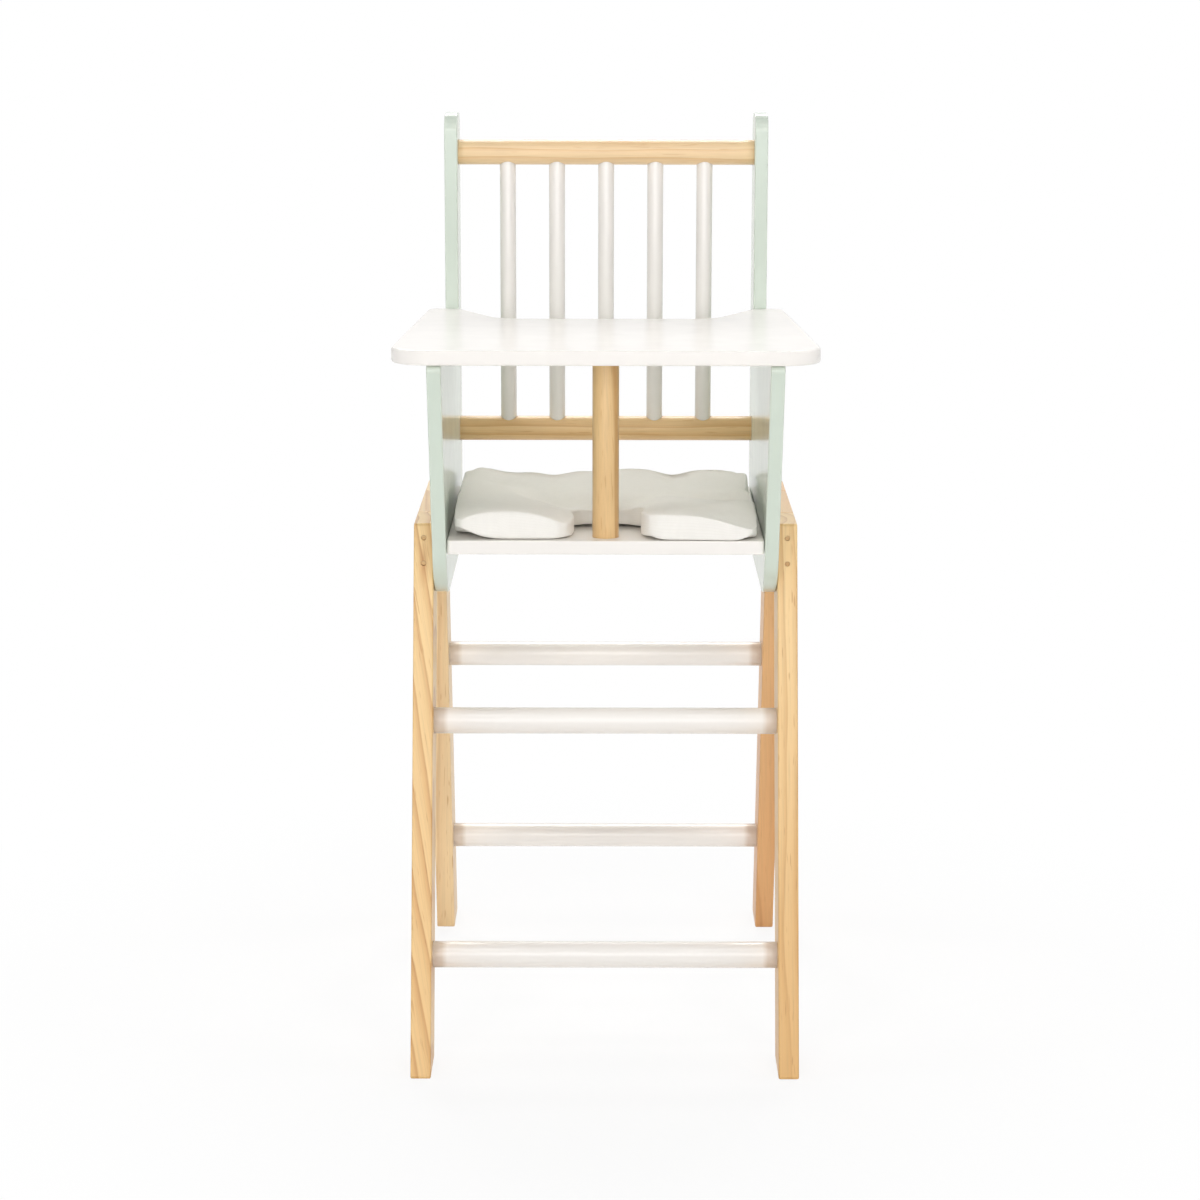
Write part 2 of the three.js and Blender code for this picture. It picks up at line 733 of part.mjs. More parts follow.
function addTray(parent) {
  addPiece(parent, 'tray', tray(), 'white');
  const postTop = trayUnderside + socketDepth - jointGap;
  const postBottom = seatUnderside + dowelEndChamfer;
  const post = turned(crotchPostDiameter, postTop - postBottom, turnedSides);
  const postMesh = addPiece(parent, 'crotch_post', post, 'railPine');
  postMesh.rotation.x = Math.PI / 2;
  postMesh.position.set(0, -crotchPostPlace, (postTop + postBottom) / 2);
  for (const at of trayPegPlaces()) {
    const peg = cylinderAlong('z', trayPegDiameter, trayPegTop - trayPegBottom, screwSides);
    const height = (trayPegTop + trayPegBottom) / 2;
    addPiece(parent, at.name, peg, 'pinWood').position.set(at.x, at.y, height);
  }
}

const fixedFrame = new THREE.Group();
addSides(fixedFrame);
addCrosspieces(fixedFrame);
addSpindles(fixedFrame);
addFasteners(fixedFrame);
chair.add(fixedFrame);

const liftOffTray = new THREE.Group();
addTray(liftOffTray);
chair.add(liftOffTray);

const looseCushion = new THREE.Group();
addPiece(looseCushion, 'cushion', cushion(), 'fabric');
chair.add(looseCushion);

export default chair;
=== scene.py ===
# %% [markdown]
# # A high chair for dolls
#
# This lesson dresses a wooden high chair for a doll: mint and white paint, clear pine, zinc screws
# and a loose cotton cushion. The measured frame of the chair comes first. Each visible piece is then
# modelled over its measured solid, so that the pieces keep their places and still get fine roundings,
# grain and cloth. All lengths are in metres, +Z is up and -Y is the front.

# %% Load the measured frame
import math

import bmesh
import bpy
from mathutils import Matrix, Vector, noise


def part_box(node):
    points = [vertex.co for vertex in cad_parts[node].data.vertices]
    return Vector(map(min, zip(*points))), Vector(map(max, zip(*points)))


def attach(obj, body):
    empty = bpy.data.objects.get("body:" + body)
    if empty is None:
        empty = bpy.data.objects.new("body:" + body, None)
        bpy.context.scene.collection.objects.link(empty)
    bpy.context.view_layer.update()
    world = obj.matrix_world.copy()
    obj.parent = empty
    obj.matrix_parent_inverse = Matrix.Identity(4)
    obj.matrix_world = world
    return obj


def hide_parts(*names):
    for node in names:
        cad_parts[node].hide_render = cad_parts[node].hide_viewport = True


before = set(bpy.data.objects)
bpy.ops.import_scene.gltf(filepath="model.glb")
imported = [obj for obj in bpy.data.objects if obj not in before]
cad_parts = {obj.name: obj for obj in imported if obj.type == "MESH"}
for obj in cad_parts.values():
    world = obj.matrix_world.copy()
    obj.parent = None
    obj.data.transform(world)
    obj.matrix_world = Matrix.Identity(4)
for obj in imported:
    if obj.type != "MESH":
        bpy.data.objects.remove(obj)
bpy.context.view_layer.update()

# %% [markdown]
# ## Sizes
#
# The heights and places of the pieces are read from the frame. Only what a box can't tell is named
# here: the radii of roundings, the depths of sockets and the thin gaps between pieces. On the real
# chair these are the cutter sizes in the workshop.

# %% Named sizes
MM = 0.001
JOINT_GAP = 0.3 * MM          # between two pieces that meet
OVERRUN = 3 * MM              # how far a cutter runs past the face that it opens

LEG_WIDTH = 44 * MM           # along the floor
LEG_EDGE_RADIUS = 1 * MM
FRAME_FOOT_REACH = 185 * MM   # from the middle to the outer edge of a foot
FRAME_TOP_REACH = 88 * MM
FRAME_CORNER_RADIUS = 2.5 * MM
FOOT_CORNER_RADIUS = 1.5 * MM

PANEL_EDGE_RADIUS = 1 * MM
ARM_FRONT = 168.7 * MM
PANEL_FRONT_FOOT = 103.9 * MM
POST_DEPTH = 42 * MM
POST_TOP_RADIUS = 12 * MM
ARM_TIP_RADIUS = 4 * MM
PANEL_TOE_RADIUS = 45 * MM
PANEL_HEEL_RADIUS = 10 * MM

SEAT_CORNER_RADIUS = 3 * MM
SEAT_EDGE_RADIUS = 1 * MM

TRAY_FRONT_HALF_WIDTH = 134.6 * MM
TRAY_WING_HALF_WIDTH = 121.8 * MM
TRAY_FRONT_RADIUS = 24 * MM
TRAY_WING_RADIUS = 7 * MM
TRAY_EDGE_RADIUS = 1.5 * MM
BELLY_HALF_WIDTH = 71 * MM    # of the cut-out, at its front
BELLY_CORNER_RADIUS = 22 * MM
WING_LENGTH = 64 * MM
WING_TIP_RADIUS = 5 * MM

DOWEL_RADIUS = 8.5 * MM       # rungs, back rails and crotch post
SPINDLE_RADIUS = 5.5 * MM
SOCKET_DEPTH = 5 * MM
SPINDLE_SOCKET_DEPTH = 8 * MM
DOWEL_END_BEVEL = 1 * MM

SCREW_SHANK_RADIUS = 2 * MM
SCREW_HEAD_RADIUS = 4 * MM
SCREW_HEAD_DEPTH = 2.4 * MM
SCREW_RIM = 0.3 * MM          # the straight edge of the head
SCREW_POINT = 2 * MM
SCREW_TIP_SHARE = 0.35        # of the shank's radius, at the tip
HEX_KEY_RADIUS = 1.3 * MM
HEX_KEY_DEPTH = 1.6 * MM
PIN_RADIUS = 1.5 * MM
PIN_GAP = 0.15 * MM
PIN_END_BEVEL = 0.3 * MM
PEG_RADIUS = 2.5 * MM

ROUND_SIDES = 64
SMALL_SIDES = 32
SMOOTH_ANGLE = math.radians(35)
DOWEL_SMOOTH_ANGLE = math.radians(30)

SIDES = {"left": -1, "right": 1}
ENDS = {"front": -1, "rear": 1}
LEVELS = ("upper", "lower")
BACK_RAILS = {"top_back_rail": -1, "lower_back_rail": 1}    # with the side that the spindles enter

# %% [markdown]
# ## The camera
#
# The photograph looks at the chair from the front and a little from above. A long lens keeps the
# front and rear legs close in size. The place of the camera was found by matching the corners of the
# chair in the picture, so it is given as plain numbers.

# %% Camera
CAMERA_PLACE = (0.13 * MM, -2096.4 * MM, 696.5 * MM)
CAMERA_PITCH = math.radians(78.63)
CAMERA_YAW = math.radians(0.105)
CAMERA_ROLL = 0.0013
SENSOR_WIDTH = 36
LENS_LENGTH = 94.6

bpy.ops.object.select_all(action="DESELECT")
bpy.ops.object.camera_add(location=CAMERA_PLACE)
camera = bpy.context.object
camera.name = "photo_camera"
aim = Matrix.Rotation(CAMERA_YAW, 3, "Z") @ Matrix.Rotation(CAMERA_PITCH, 3, "X")
aim = aim @ Matrix.Rotation(CAMERA_ROLL, 3, "Z")
camera.rotation_euler = aim.to_euler()
camera.data.sensor_width = SENSOR_WIDTH
camera.data.lens = LENS_LENGTH
bpy.context.scene.camera = camera
print("camera:", tuple(round(v, 3) for v in camera.location), "lens", camera.data.lens)

# %% [markdown]
# ## The studio
#
# The chair stands on a seamless white floor. A wide soft box hangs low in front and lights under the
# tray, and smaller ones above it light the top of the tray. The boxes behind and at the sides light the
# flat faces and keep the outline clear of the white ground. A weak surround fills the shadows. The
# camera and the reflections see it as white, and round the chair's shadow the floor fades to white.

# %% Helpers for shader nodes
def feed(tree, value, socket):
    """Links a socket to another node's output, or writes a plain value on it."""
    if isinstance(value, bpy.types.NodeSocket):
        tree.links.new(value, socket)
    else:
        socket.default_value = value


def add_node(tree, kind, fed=None, **settings):
    """Adds a shader node with its settings. fed gives values or outputs for sockets by name or number."""
    node = tree.nodes.new("ShaderNode" + kind)
    for name, value in settings.items():
        setattr(node, name, value)
    for label, value in (fed or {}).items():
        feed(tree, value, node.inputs[label])
    return node


def calculate(tree, operation, first, second=0.0, third=0.0, clamp=False):
    """One sum of numbers or outputs."""
    fed = {0: first, 1: second, 2: third}
    return add_node(tree, "Math", fed, operation=operation, use_clamp=clamp).outputs[0]


def length_of(tree, vector):
    return add_node(tree, "VectorMath", {0: vector}, operation="LENGTH").outputs["Value"]


def new_material(name):
    """An empty material, its node tree and its Principled shader."""
    material = bpy.data.materials.new(name)
    material.use_nodes = True
    return material, material.node_tree, material.node_tree.nodes["Principled BSDF"]


print("node helpers ready")


# %% World and floor
SURROUND_AT_HORIZON = 0.15
SURROUND_OVERHEAD = 0.0
FLOOR_SIZE = 14.0
FLOOR_COLOUR = (0.92, 0.92, 0.92, 1.0)
SHADOW_REACH = (0.20, 0.60)     # from the middle of the chair, where its shadow starts to fade and ends
WHITE_OVER_SHADOW = 0.85


def white_to_camera(tree, shader, share=1.0):
    """Shows plain white to the camera, to reflections and through glass, and shader to all else.

    With a share below 1 they see only that much of the white, over the shader.
    """
    path = add_node(tree, "LightPath").outputs
    seen = calculate(tree, "ADD", path["Is Camera Ray"], path["Is Glossy Ray"], clamp=True)
    seen = calculate(tree, "ADD", seen, path["Is Transmission Ray"], clamp=True)
    white = add_node(tree, "Emission", {"Strength": 1.0})
    amount = calculate(tree, "MULTIPLY", seen, share)
    return add_node(tree, "MixShader", {"Fac": amount, 1: shader, 2: white.outputs[0]}).outputs[0]


world = bpy.data.worlds.new("studio_surround")
bpy.context.scene.world = world
world.use_nodes = True
sky = world.node_tree
surround = sky.nodes["Background"]
surround.inputs["Color"].default_value = (1.0, 1.0, 1.0, 1.0)
ray = add_node(sky, "TexCoord")
upward = add_node(sky, "SeparateXYZ", {0: ray.outputs["Generated"]})
level = add_node(sky, "MapRange", {
    "Value": upward.outputs["Z"], "To Min": SURROUND_AT_HORIZON, "To Max": SURROUND_OVERHEAD})
feed(sky, level.outputs["Result"], surround.inputs["Strength"])
feed(sky, white_to_camera(sky, surround.outputs[0]), sky.nodes["World Output"].inputs["Surface"])

bpy.ops.object.select_all(action="DESELECT")
bpy.ops.mesh.primitive_plane_add(size=FLOOR_SIZE, location=(0, 0, 0))
floor = bpy.context.object
floor.name = "studio_floor"
floor_white, floor_tree, floor_shader = new_material("floor_white")
floor_shader.inputs["Base Color"].default_value = FLOOR_COLOUR
floor_shader.inputs["Roughness"].default_value = 0.9
floor_shader.inputs["Specular IOR Level"].default_value = 0.1
floor_place = add_node(floor_tree, "TexCoord").outputs["Object"]
floor_fade = add_node(floor_tree, "MapRange", {
    "Value": length_of(floor_tree, floor_place), "From Min": SHADOW_REACH[0], "From Max": SHADOW_REACH[1],
    "To Min": WHITE_OVER_SHADOW, "To Max": 1.0}, interpolation_type="SMOOTHSTEP")
floor_seen = white_to_camera(floor_tree, floor_shader.outputs[0], floor_fade.outputs["Result"])
feed(floor_tree, floor_seen, floor_tree.nodes["Material Output"].inputs["Surface"])
floor.data.materials.append(floor_white)
print("floor", FLOOR_SIZE, "m, surround", SURROUND_AT_HORIZON, "to", SURROUND_OVERHEAD)


# %% Soft boxes
CHAIR_MIDDLE = Vector((0.0, 0.0, 0.3))
LAMP_DISTANCE = 2.4


def soft_box(name, azimuth, elevation, width, height, power):
    """An area light that faces the chair. Azimuth 0 is in front, positive to the right."""
    turn, rise = math.radians(azimuth), math.radians(elevation)
    away = Vector((math.sin(turn) * math.cos(rise), -math.cos(turn) * math.cos(rise), math.sin(rise)))
    bpy.ops.object.light_add(type="AREA", location=CHAIR_MIDDLE + away * LAMP_DISTANCE)
    light = bpy.context.object
    light.name = name
    light.data.shape = "RECTANGLE"
    light.data.size = width
    light.data.size_y = height
    light.data.energy = power
    light.rotation_euler = away.to_track_quat("Z", "Y").to_euler()
    print(name, "at", tuple(round(v, 2) for v in light.location))


soft_box("front_wide", 0, 15, 2.4, 1.0, 28.5)
soft_box("front_high", 0, 42, 2.4, 0.6, 5.0)
soft_box("back_wide", 180, 46, 1.8, 0.9, 35.5)
for side_name, side in SIDES.items():
    soft_box(f"strip_{side_name}", side * 28, 54, 0.6, 0.12, 4.5)
    soft_box(f"side_{side_name}", side * 90, 32, 1.2, 1.2, 12.0)
    soft_box(f"back_{side_name}", side * 150, 45, 1.0, 1.0, 3.5)
bpy.context.scene.view_settings.view_transform = "Standard"

# %% [markdown]
# ## Shared effects as node groups
#
# Every finish on this chair is built from a few effects: the grain of pine, the skin of a sprayed
# paint, the weave of cotton. An effect could be copied into each material, but then a change has to be
# made many times. A node group holds it once, with named inputs, and each material feeds it its own
# colours and scale. Every group here puts out a colour, a roughness and a height.

# %% Helpers for node groups
def new_effect(name, inputs):
    """An empty group, its inputs and its outputs. inputs gives their defaults, and None for a vector."""
    group = bpy.data.node_groups.new(name, "ShaderNodeTree")
    for label, default in inputs.items():
        kind = {tuple: "Color", float: "Float"}.get(type(default), "Vector")
        socket = group.interface.new_socket(label, in_out="INPUT", socket_type="NodeSocket" + kind)
        if default is not None:
            socket.default_value = default
    for label, kind in (("Color", "Color"), ("Roughness", "Float"), ("Height", "Float")):
        group.interface.new_socket(label, in_out="OUTPUT", socket_type="NodeSocket" + kind)
    entry, way_out = group.nodes.new("NodeGroupInput"), group.nodes.new("NodeGroupOutput")
    return group, entry.outputs, way_out.inputs


def ramp(tree, source, *stops):
    """A colour ramp fed by source. stops are (place, grey)."""
    node = add_node(tree, "ValToRGB", {"Fac": source})
    elements = node.color_ramp.elements
    while len(elements) < len(stops):
        elements.new(0.5)
    for element, (place, grey) in zip(elements, stops):
        element.position = place
        element.color = (grey, grey, grey, 1.0)
    return node.outputs["Color"]


def blend_colours(tree, kind, share, first, second):
    """Mixes two colours, which are outputs or plain values, as is their share."""
    node = add_node(tree, "Mix", {0: share, 6: first, 7: second}, data_type="RGBA", blend_type=kind)
    return node.outputs[2]


def stretched(tree, vector, scale):
    return add_node(tree, "Mapping", {"Vector": vector, "Scale": scale}).outputs["Vector"]


def noise_of(tree, vector, scale=1.0, detail=2.0, rough=0.5, output="Fac"):
    fed = {"Vector": vector, "Scale": scale, "Detail": detail, "Roughness": rough}
    return add_node(tree, "TexNoise", fed).outputs[output]


print("group helpers ready")

# %% [markdown]
# ### Pine grain
#
# A pine board shows slices of long, thin cones: pale wood that grew in spring and a narrow, darker
# line that grew in late summer. The rings run round the Z axis of the pattern, and a material turns
# that axis along its board. Slow noise makes the lines wander, and a very stretched noise gives the
# fibres and the short dark dashes of the resin canals. A board can get warmer towards its foot, and
# can have one knot, which shows as a long, ragged streak.

# %% Pine grain group
WANDER = 0.011                  # how far slow noise pushes the rings, in metres
WARM_WOOD_BELOW = 260 * MM
KNOT_STRETCH = (1 / (3.2 * MM), 1 / (60 * MM), 1 / (17 * MM))


def pine_grain_group():
    group, given, out = new_effect("pine_grain", {
        "Vector": None, "Pale": (0.84, 0.60, 0.34, 1.0), "Warm": (0.76, 0.47, 0.21, 1.0),
        "Line": (0.60, 0.33, 0.12, 1.0), "Line Strength": 0.5, "Rings per Metre": 60.0,
        "Dash Strength": 0.35, "Warmer Below": 0.0, "Board Place": None, "Knot Place": None,
        "Knot Strength": 0.0})
    vector = given["Vector"]

    wander = noise_of(group, stretched(group, vector, (30.0, 30.0, 7.0)), detail=1.5, output="Color")
    pushed = add_node(group, "VectorMath", {0: wander, 1: (WANDER, WANDER, 0.0), 2: vector},
                      operation="MULTIPLY_ADD")
    from_heart = length_of(group, stretched(group, pushed.outputs[0], (1.0, 1.0, 0.0)))
    phase = calculate(group, "FRACT", calculate(group, "MULTIPLY", from_heart, given["Rings per Metre"]))
    line = ramp(group, phase, (0.0, 0.0), (0.45, 0.06), (0.80, 0.45), (0.93, 1.0), (1.0, 0.0))
    warmth = ramp(group, phase, (0.0, 0.15), (0.55, 0.35), (0.9, 0.9), (1.0, 0.15))

    patches = noise_of(group, stretched(group, vector, (26.0, 26.0, 6.0)))
    warm_share = calculate(group, "MULTIPLY", warmth, ramp(group, patches, (0.34, 0.25), (0.68, 1.0)))
    body = blend_colours(group, "MIX", warm_share, given["Pale"], given["Warm"])
    upright = add_node(group, "SeparateXYZ", {0: given["Board Place"]})
    low_share = calculate(group, "SUBTRACT", WARM_WOOD_BELOW, upright.outputs["Z"])
    low_share = calculate(group, "MULTIPLY", low_share, given["Warmer Below"], clamp=True)
    body = blend_colours(group, "MIX", low_share, body, given["Warm"])
    line_share = calculate(group, "MULTIPLY", line, given["Line Strength"])
    lined = blend_colours(group, "MIX", line_share, body, given["Line"])

    fibres = noise_of(group, stretched(group, vector, (1300.0, 1300.0, 22.0)), 1.0, 3.0, 0.6)
    fibre_tone = ramp(group, fibres, (0.25, 0.88), (0.55, 1.0), (0.8, 1.0))
    fibred = blend_colours(group, "MULTIPLY", 1.0, lined, fibre_tone)
    dashes = noise_of(group, stretched(group, vector, (800.0, 800.0, 60.0)), detail=1.0)
    dash_share = calculate(group, "MULTIPLY", ramp(group, dashes, (0.66, 0.0), (0.74, 1.0)),
                           given["Dash Strength"])
    dashed = blend_colours(group, "MIX", dash_share, fibred, given["Line"])

    offset = add_node(group, "VectorMath", {0: given["Board Place"], 1: given["Knot Place"]},
                      operation="SUBTRACT")
    from_knot = length_of(group, stretched(group, offset.outputs[0], KNOT_STRETCH))
    ragged = calculate(group, "MULTIPLY", calculate(group, "ADD", from_knot, fibres), 0.55)
    knot_share = calculate(group, "MULTIPLY", ramp(group, ragged, (0.25, 1.0), (0.5, 0.5), (0.9, 0.0)),
                           given["Knot Strength"])
    feed(group, blend_colours(group, "MIX", knot_share, dashed, given["Line"]), out["Color"])
    feed(group, calculate(group, "MULTIPLY_ADD", fibres, 0.10, 0.36), out["Roughness"])
    feed(group, calculate(group, "SUBTRACT", fibres, line), out["Height"])
    return group


pine_grain = pine_grain_group()
print("pine grain nodes:", len(pine_grain.nodes))

# %% [markdown]
# ### Sprayed paint
#
# The mint and white boards have a satin lacquer. Close up, a sprayed coat isn't flat: it has a fine
# orange-peel skin, its tone drifts a little, and along a rounded edge the coat is thinner and paler.
# The edge comes from an attribute named "edge", which is painted on each board where its face rounds
# over. Near its ends a rung gets painted shade: a darker, warmer tone stands for the legs' shadow and
# the pine's reflected tint. Past a given distance from the middle of the chair it fades in over a few
# millimetres.

# %% Paint group
# how far the painted shade at a rung's end takes to fade in
END_SHADE_FADE = 3.5 * MM
THIN_EDGE_SHARE = 0.55


def paint_coat_group():
    group, given, out = new_effect("paint_coat", {
        "Vector": None, "Coat": (0.8, 0.8, 0.8, 1.0), "Thin Edge": (0.9, 0.9, 0.9, 1.0),
        "Shaded End": (0.8, 0.8, 0.8, 1.0), "Shade Beyond": 10.0, "Gloss Roughness": 0.3})
    vector = given["Vector"]
    tone = ramp(group, noise_of(group, vector, 14.0, 3.0), (0.3, 0.985), (0.7, 1.0))
    toned = blend_colours(group, "MULTIPLY", 1.0, given["Coat"], tone)

    edge = add_node(group, "Attribute", attribute_type="GEOMETRY", attribute_name="edge")
    scuffs = ramp(group, noise_of(group, vector, 170.0, 4.0, 0.6), (0.38, 0.15), (0.66, 1.0))
    thin_share = calculate(group, "MULTIPLY", edge.outputs["Fac"], scuffs)
    thin_share = calculate(group, "MULTIPLY", thin_share, THIN_EDGE_SHARE)
    coloured = blend_colours(group, "MIX", thin_share, toned, given["Thin Edge"])

    # painted shade: past the given distance a rung's end turns to the tone of the legs' shadow
    sideways = calculate(group, "ABSOLUTE", add_node(group, "SeparateXYZ", {0: vector}).outputs["X"])
    past = calculate(group, "SUBTRACT", sideways, given["Shade Beyond"])
    end_shade_share = calculate(group, "MULTIPLY", past, 1 / END_SHADE_FADE, clamp=True)
    feed(group, blend_colours(group, "MIX", end_shade_share, coloured, given["Shaded End"]), out["Color"])

    smudge = calculate(group, "MULTIPLY", noise_of(group, vector, 45.0, 3.0), 0.06)
    feed(group, calculate(group, "ADD", given["Gloss Roughness"], smudge), out["Roughness"])
    feed(group, noise_of(group, vector, 900.0), out["Height"])
    return group


paint_coat = paint_coat_group()
print("paint nodes:", len(paint_coat.nodes))

# %% [markdown]
# ### Cotton weave
#
# The cushion cover is a plain weave: each thread passes over one crossing thread and under the next.
# The pattern reads a UV map that was laid on the cloth while it was still flat, so the threads bend
# with the folds instead of sliding through them.

# %% Weave group
def weave_group():
    group, given, out = new_effect("cotton_weave", {
        "Vector": None, "Thread": (0.86, 0.83, 0.78, 1.0), "Gap": (0.62, 0.58, 0.52, 1.0),
        "Threads per Metre": 1500.0})
    slub = noise_of(group, given["Vector"], 240.0)
    parts = add_node(group, "SeparateXYZ", {0: given["Vector"]})
    turns = calculate(group, "MULTIPLY", given["Threads per Metre"], math.pi)
    waves = []
    for axis in ("X", "Y"):
        place = calculate(group, "MULTIPLY", parts.outputs[axis], turns)
        bent = calculate(group, "ADD", place, calculate(group, "MULTIPLY", slub, 1.6))
        waves.append(calculate(group, "SINE", bent))
    warp, weft = (calculate(group, "ABSOLUTE", wave) for wave in waves)
    over = calculate(group, "GREATER_THAN", calculate(group, "MULTIPLY", *waves), 0.0)
    under = calculate(group, "SUBTRACT", 1.0, over)
    height = calculate(group, "ADD", calculate(group, "MULTIPLY", warp, over),
                       calculate(group, "MULTIPLY", weft, under))
    gap_share = ramp(group, height, (0.0, 0.5), (0.35, 0.06), (1.0, 0.0))
    slub_tone = ramp(group, slub, (0.3, 0.975), (0.7, 1.0))
    thread = blend_colours(group, "MULTIPLY", 1.0, given["Thread"], slub_tone)
    feed(group, blend_colours(group, "MIX", gap_share, thread, given["Gap"]), out["Color"])
    feed(group, calculate(group, "MULTIPLY_ADD", slub, 0.08, 0.86), out["Roughness"])
    feed(group, height, out["Height"])
    return group


cotton_weave = weave_group()
print("weave nodes:", len(cotton_weave.nodes))

# %% [markdown]
# ## The finishes
#
# Each material is a Principled shader with one of the groups in front of it. The pine materials differ
# in how the board was sawn: the tilt and the offset of the ring axis decide whether long straight
# lines show, or slanting ones that run out at the side.

# %% Material helpers
def surface_finish(name, group, values, relief, strength, location=(0, 0, 0), rotation=(0, 0, 0)):
    """A material whose shader takes colour, roughness and height from a group, and its main nodes."""
    material, tree, shader = new_material(name)
    place = add_node(tree, "TexCoord").outputs["Object"]
    turned = add_node(tree, "Mapping", {"Vector": place, "Location": location, "Rotation": rotation},
                      vector_type="TEXTURE")
    effect = add_node(tree, "Group", node_tree=group)
    for label, value in {"Vector": turned.outputs["Vector"], **values}.items():
        feed(tree, value, effect.inputs[label])
    bump = add_node(tree, "Bump", {
        "Distance": relief, "Strength": strength, "Height": effect.outputs["Height"]})
    for label, source in (("Base Color", effect.outputs["Color"]),
                          ("Roughness", effect.outputs["Roughness"]),
                          ("Normal", bump.outputs["Normal"])):
        feed(tree, source, shader.inputs[label])
    return material, shader, effect, place


def srgb(red, green, blue):
    """A colour given as it looks on a screen, from 0 to 255, as the linear one that shaders use."""
    def linear(value):
        share = value / 255
        return share / 12.92 if share <= 0.04045 else ((share + 0.055) / 1.055) ** 2.4
    return (linear(red), linear(green), linear(blue), 1.0)


def pine(name, location, rotation, tones, strength, rings, more=None):
    """tones are the pale wood, the warm wood and the line between two rings. more holds other inputs."""
    values = dict(zip(("Pale", "Warm", "Line"), tones))
    values.update({"Line Strength": strength, "Rings per Metre": rings}, **(more or {}))
    material, shader, effect, place = surface_finish(
        name, pine_grain, values, relief=0.05 * MM, strength=0.6, location=location, rotation=rotation)
    feed(material.node_tree, place, effect.inputs["Board Place"])
    shader.inputs["Coat Weight"].default_value = 0.15
    shader.inputs["Coat Roughness"].default_value = 0.3
    return material


def satin_paint(name, coat, thin_edge, gloss_roughness, more=None):
    values = {"Coat": coat, "Thin Edge": thin_edge, "Gloss Roughness": gloss_roughness, **(more or {})}
    return surface_finish(name, paint_coat, values, relief=0.004 * MM, strength=0.3)[0]


print("material helpers ready")

# %% Paint materials
WHITE_COAT, WHITE_EDGE = srgb(245, 241, 236), srgb(248, 244, 237)
WHITE_GLOSS = 0.2
# painted shade at the rung ends: the legs' shadow and the pine's reflected tint, as a colour
PAINTED_END_SHADE = {"Shaded End": srgb(221, 210, 199), "Shade Beyond": 101.5 * MM}

mint_paint = satin_paint("mint_satin_paint", srgb(211, 222, 209), srgb(219, 226, 212), 0.16)
white_paint = satin_paint("white_satin_paint", WHITE_COAT, WHITE_EDGE, WHITE_GLOSS)
rung_paint_end_shade = satin_paint("white_rung_paint", WHITE_COAT, WHITE_EDGE, WHITE_GLOSS, PAINTED_END_SHADE)
print("paints:", mint_paint.name, white_paint.name, rung_paint_end_shade.name)

# %% Pine materials
PLAIN_TONES = (srgb(240, 204, 150), srgb(226, 178, 118), srgb(200, 143, 80))
POST_TONES = (srgb(234, 198, 143), srgb(221, 173, 114), srgb(196, 139, 76))
# painted light: paler tones for the top back rail, which stands in brighter light than the same pine lower
# down
TOP_RAIL_LIT_TONES = (srgb(247, 217, 173), srgb(240, 200, 148), srgb(214, 162, 102))
PIN_TONES = {"left": (srgb(228, 190, 136), srgb(214, 170, 112), srgb(180, 132, 80)),
             "right": (srgb(218, 176, 122), srgb(202, 154, 100), srgb(168, 120, 70))}

# for each leg: its tones, then the strength of its lines, its rings per metre, the distance of the
# heartwood from the middle of the chair in mm, the sideways slant, dashes, and warmth towards the foot
LEG_WOOD = {
    ("left", "front"): ((srgb(239, 204, 144), srgb(227, 176, 105), srgb(186, 125, 58)),
                        0.6, 115, 170, -0.17, 0.5, 1.2),
    ("right", "front"): ((srgb(238, 203, 144), srgb(215, 165, 94), srgb(182, 124, 60)),
                         0.3, 150, 95, -0.01, 0.6, 3.0),
    ("left", "rear"): ((srgb(245, 216, 168), srgb(237, 198, 146), srgb(190, 134, 80)),
                       0.35, 70, 95, 0.03, 0.6, 1.0),
    ("right", "rear"): ((srgb(231, 184, 128), srgb(217, 158, 99), srgb(190, 127, 70)),
                        0.35, 70, 95, -0.04, 0.3, 2.5),
}
KNOTS = {("left", "front"): {"Knot Place": (-117.6 * MM, -96 * MM, 319 * MM), "Knot Strength": 0.9}}
LEG_HEIGHT = 343 * MM
LEG_LEAN = math.atan((FRAME_FOOT_REACH - FRAME_TOP_REACH) / LEG_HEIGHT)
HEART_REACH = 150 * MM          # from the middle of the chair to the front or back
HEART_HEIGHT = 40 * MM
QUARTER_TURN = math.radians(90)

pine_legs = {}
for leg_key, (tones, strength, rings, heart, slant, dashes, warmth) in LEG_WOOD.items():
    side_name, end_name = leg_key
    side, end = SIDES[side_name], ENDS[end_name]
    pine_legs[leg_key] = pine(
        f"pine_{end_name}_leg_{side_name}", (side * heart * MM, end * HEART_REACH, HEART_HEIGHT),
        (end * LEG_LEAN, slant, 0), tones, strength, rings,
        {"Dash Strength": dashes, "Warmer Below": warmth, **KNOTS.get(leg_key, {})})
pine_frame_rail = pine(
    "pine_frame_rails", (0.09, 0.0, 0.30), (QUARTER_TURN, 0.03, 0.04), PLAIN_TONES, 0.5, 95.0)
# painted light: the top rail takes the paler, lit tones and the lower rail the plain ones
pine_back_rails = {
    node: pine(f"pine_{node}", (0.0, 0.088, 0.40), (0.02, QUARTER_TURN, 0.03), tones, 0.35, 160.0)
    for node, tones in zip(BACK_RAILS, (TOP_RAIL_LIT_TONES, PLAIN_TONES))}
pine_crotch_post = pine(
    "pine_crotch_post", (0.008, -0.09, 0.40), (0.03, -0.02, 0), POST_TONES, 0.45, 150.0)
pin_wood = {name: pine(f"pin_end_grain_{name}", (0.0, 0.0, 0.0), (QUARTER_TURN, 0, 0), tones, 0.5, 900.0)
            for name, tones in PIN_TONES.items()}
print("materials:", len(bpy.data.materials))


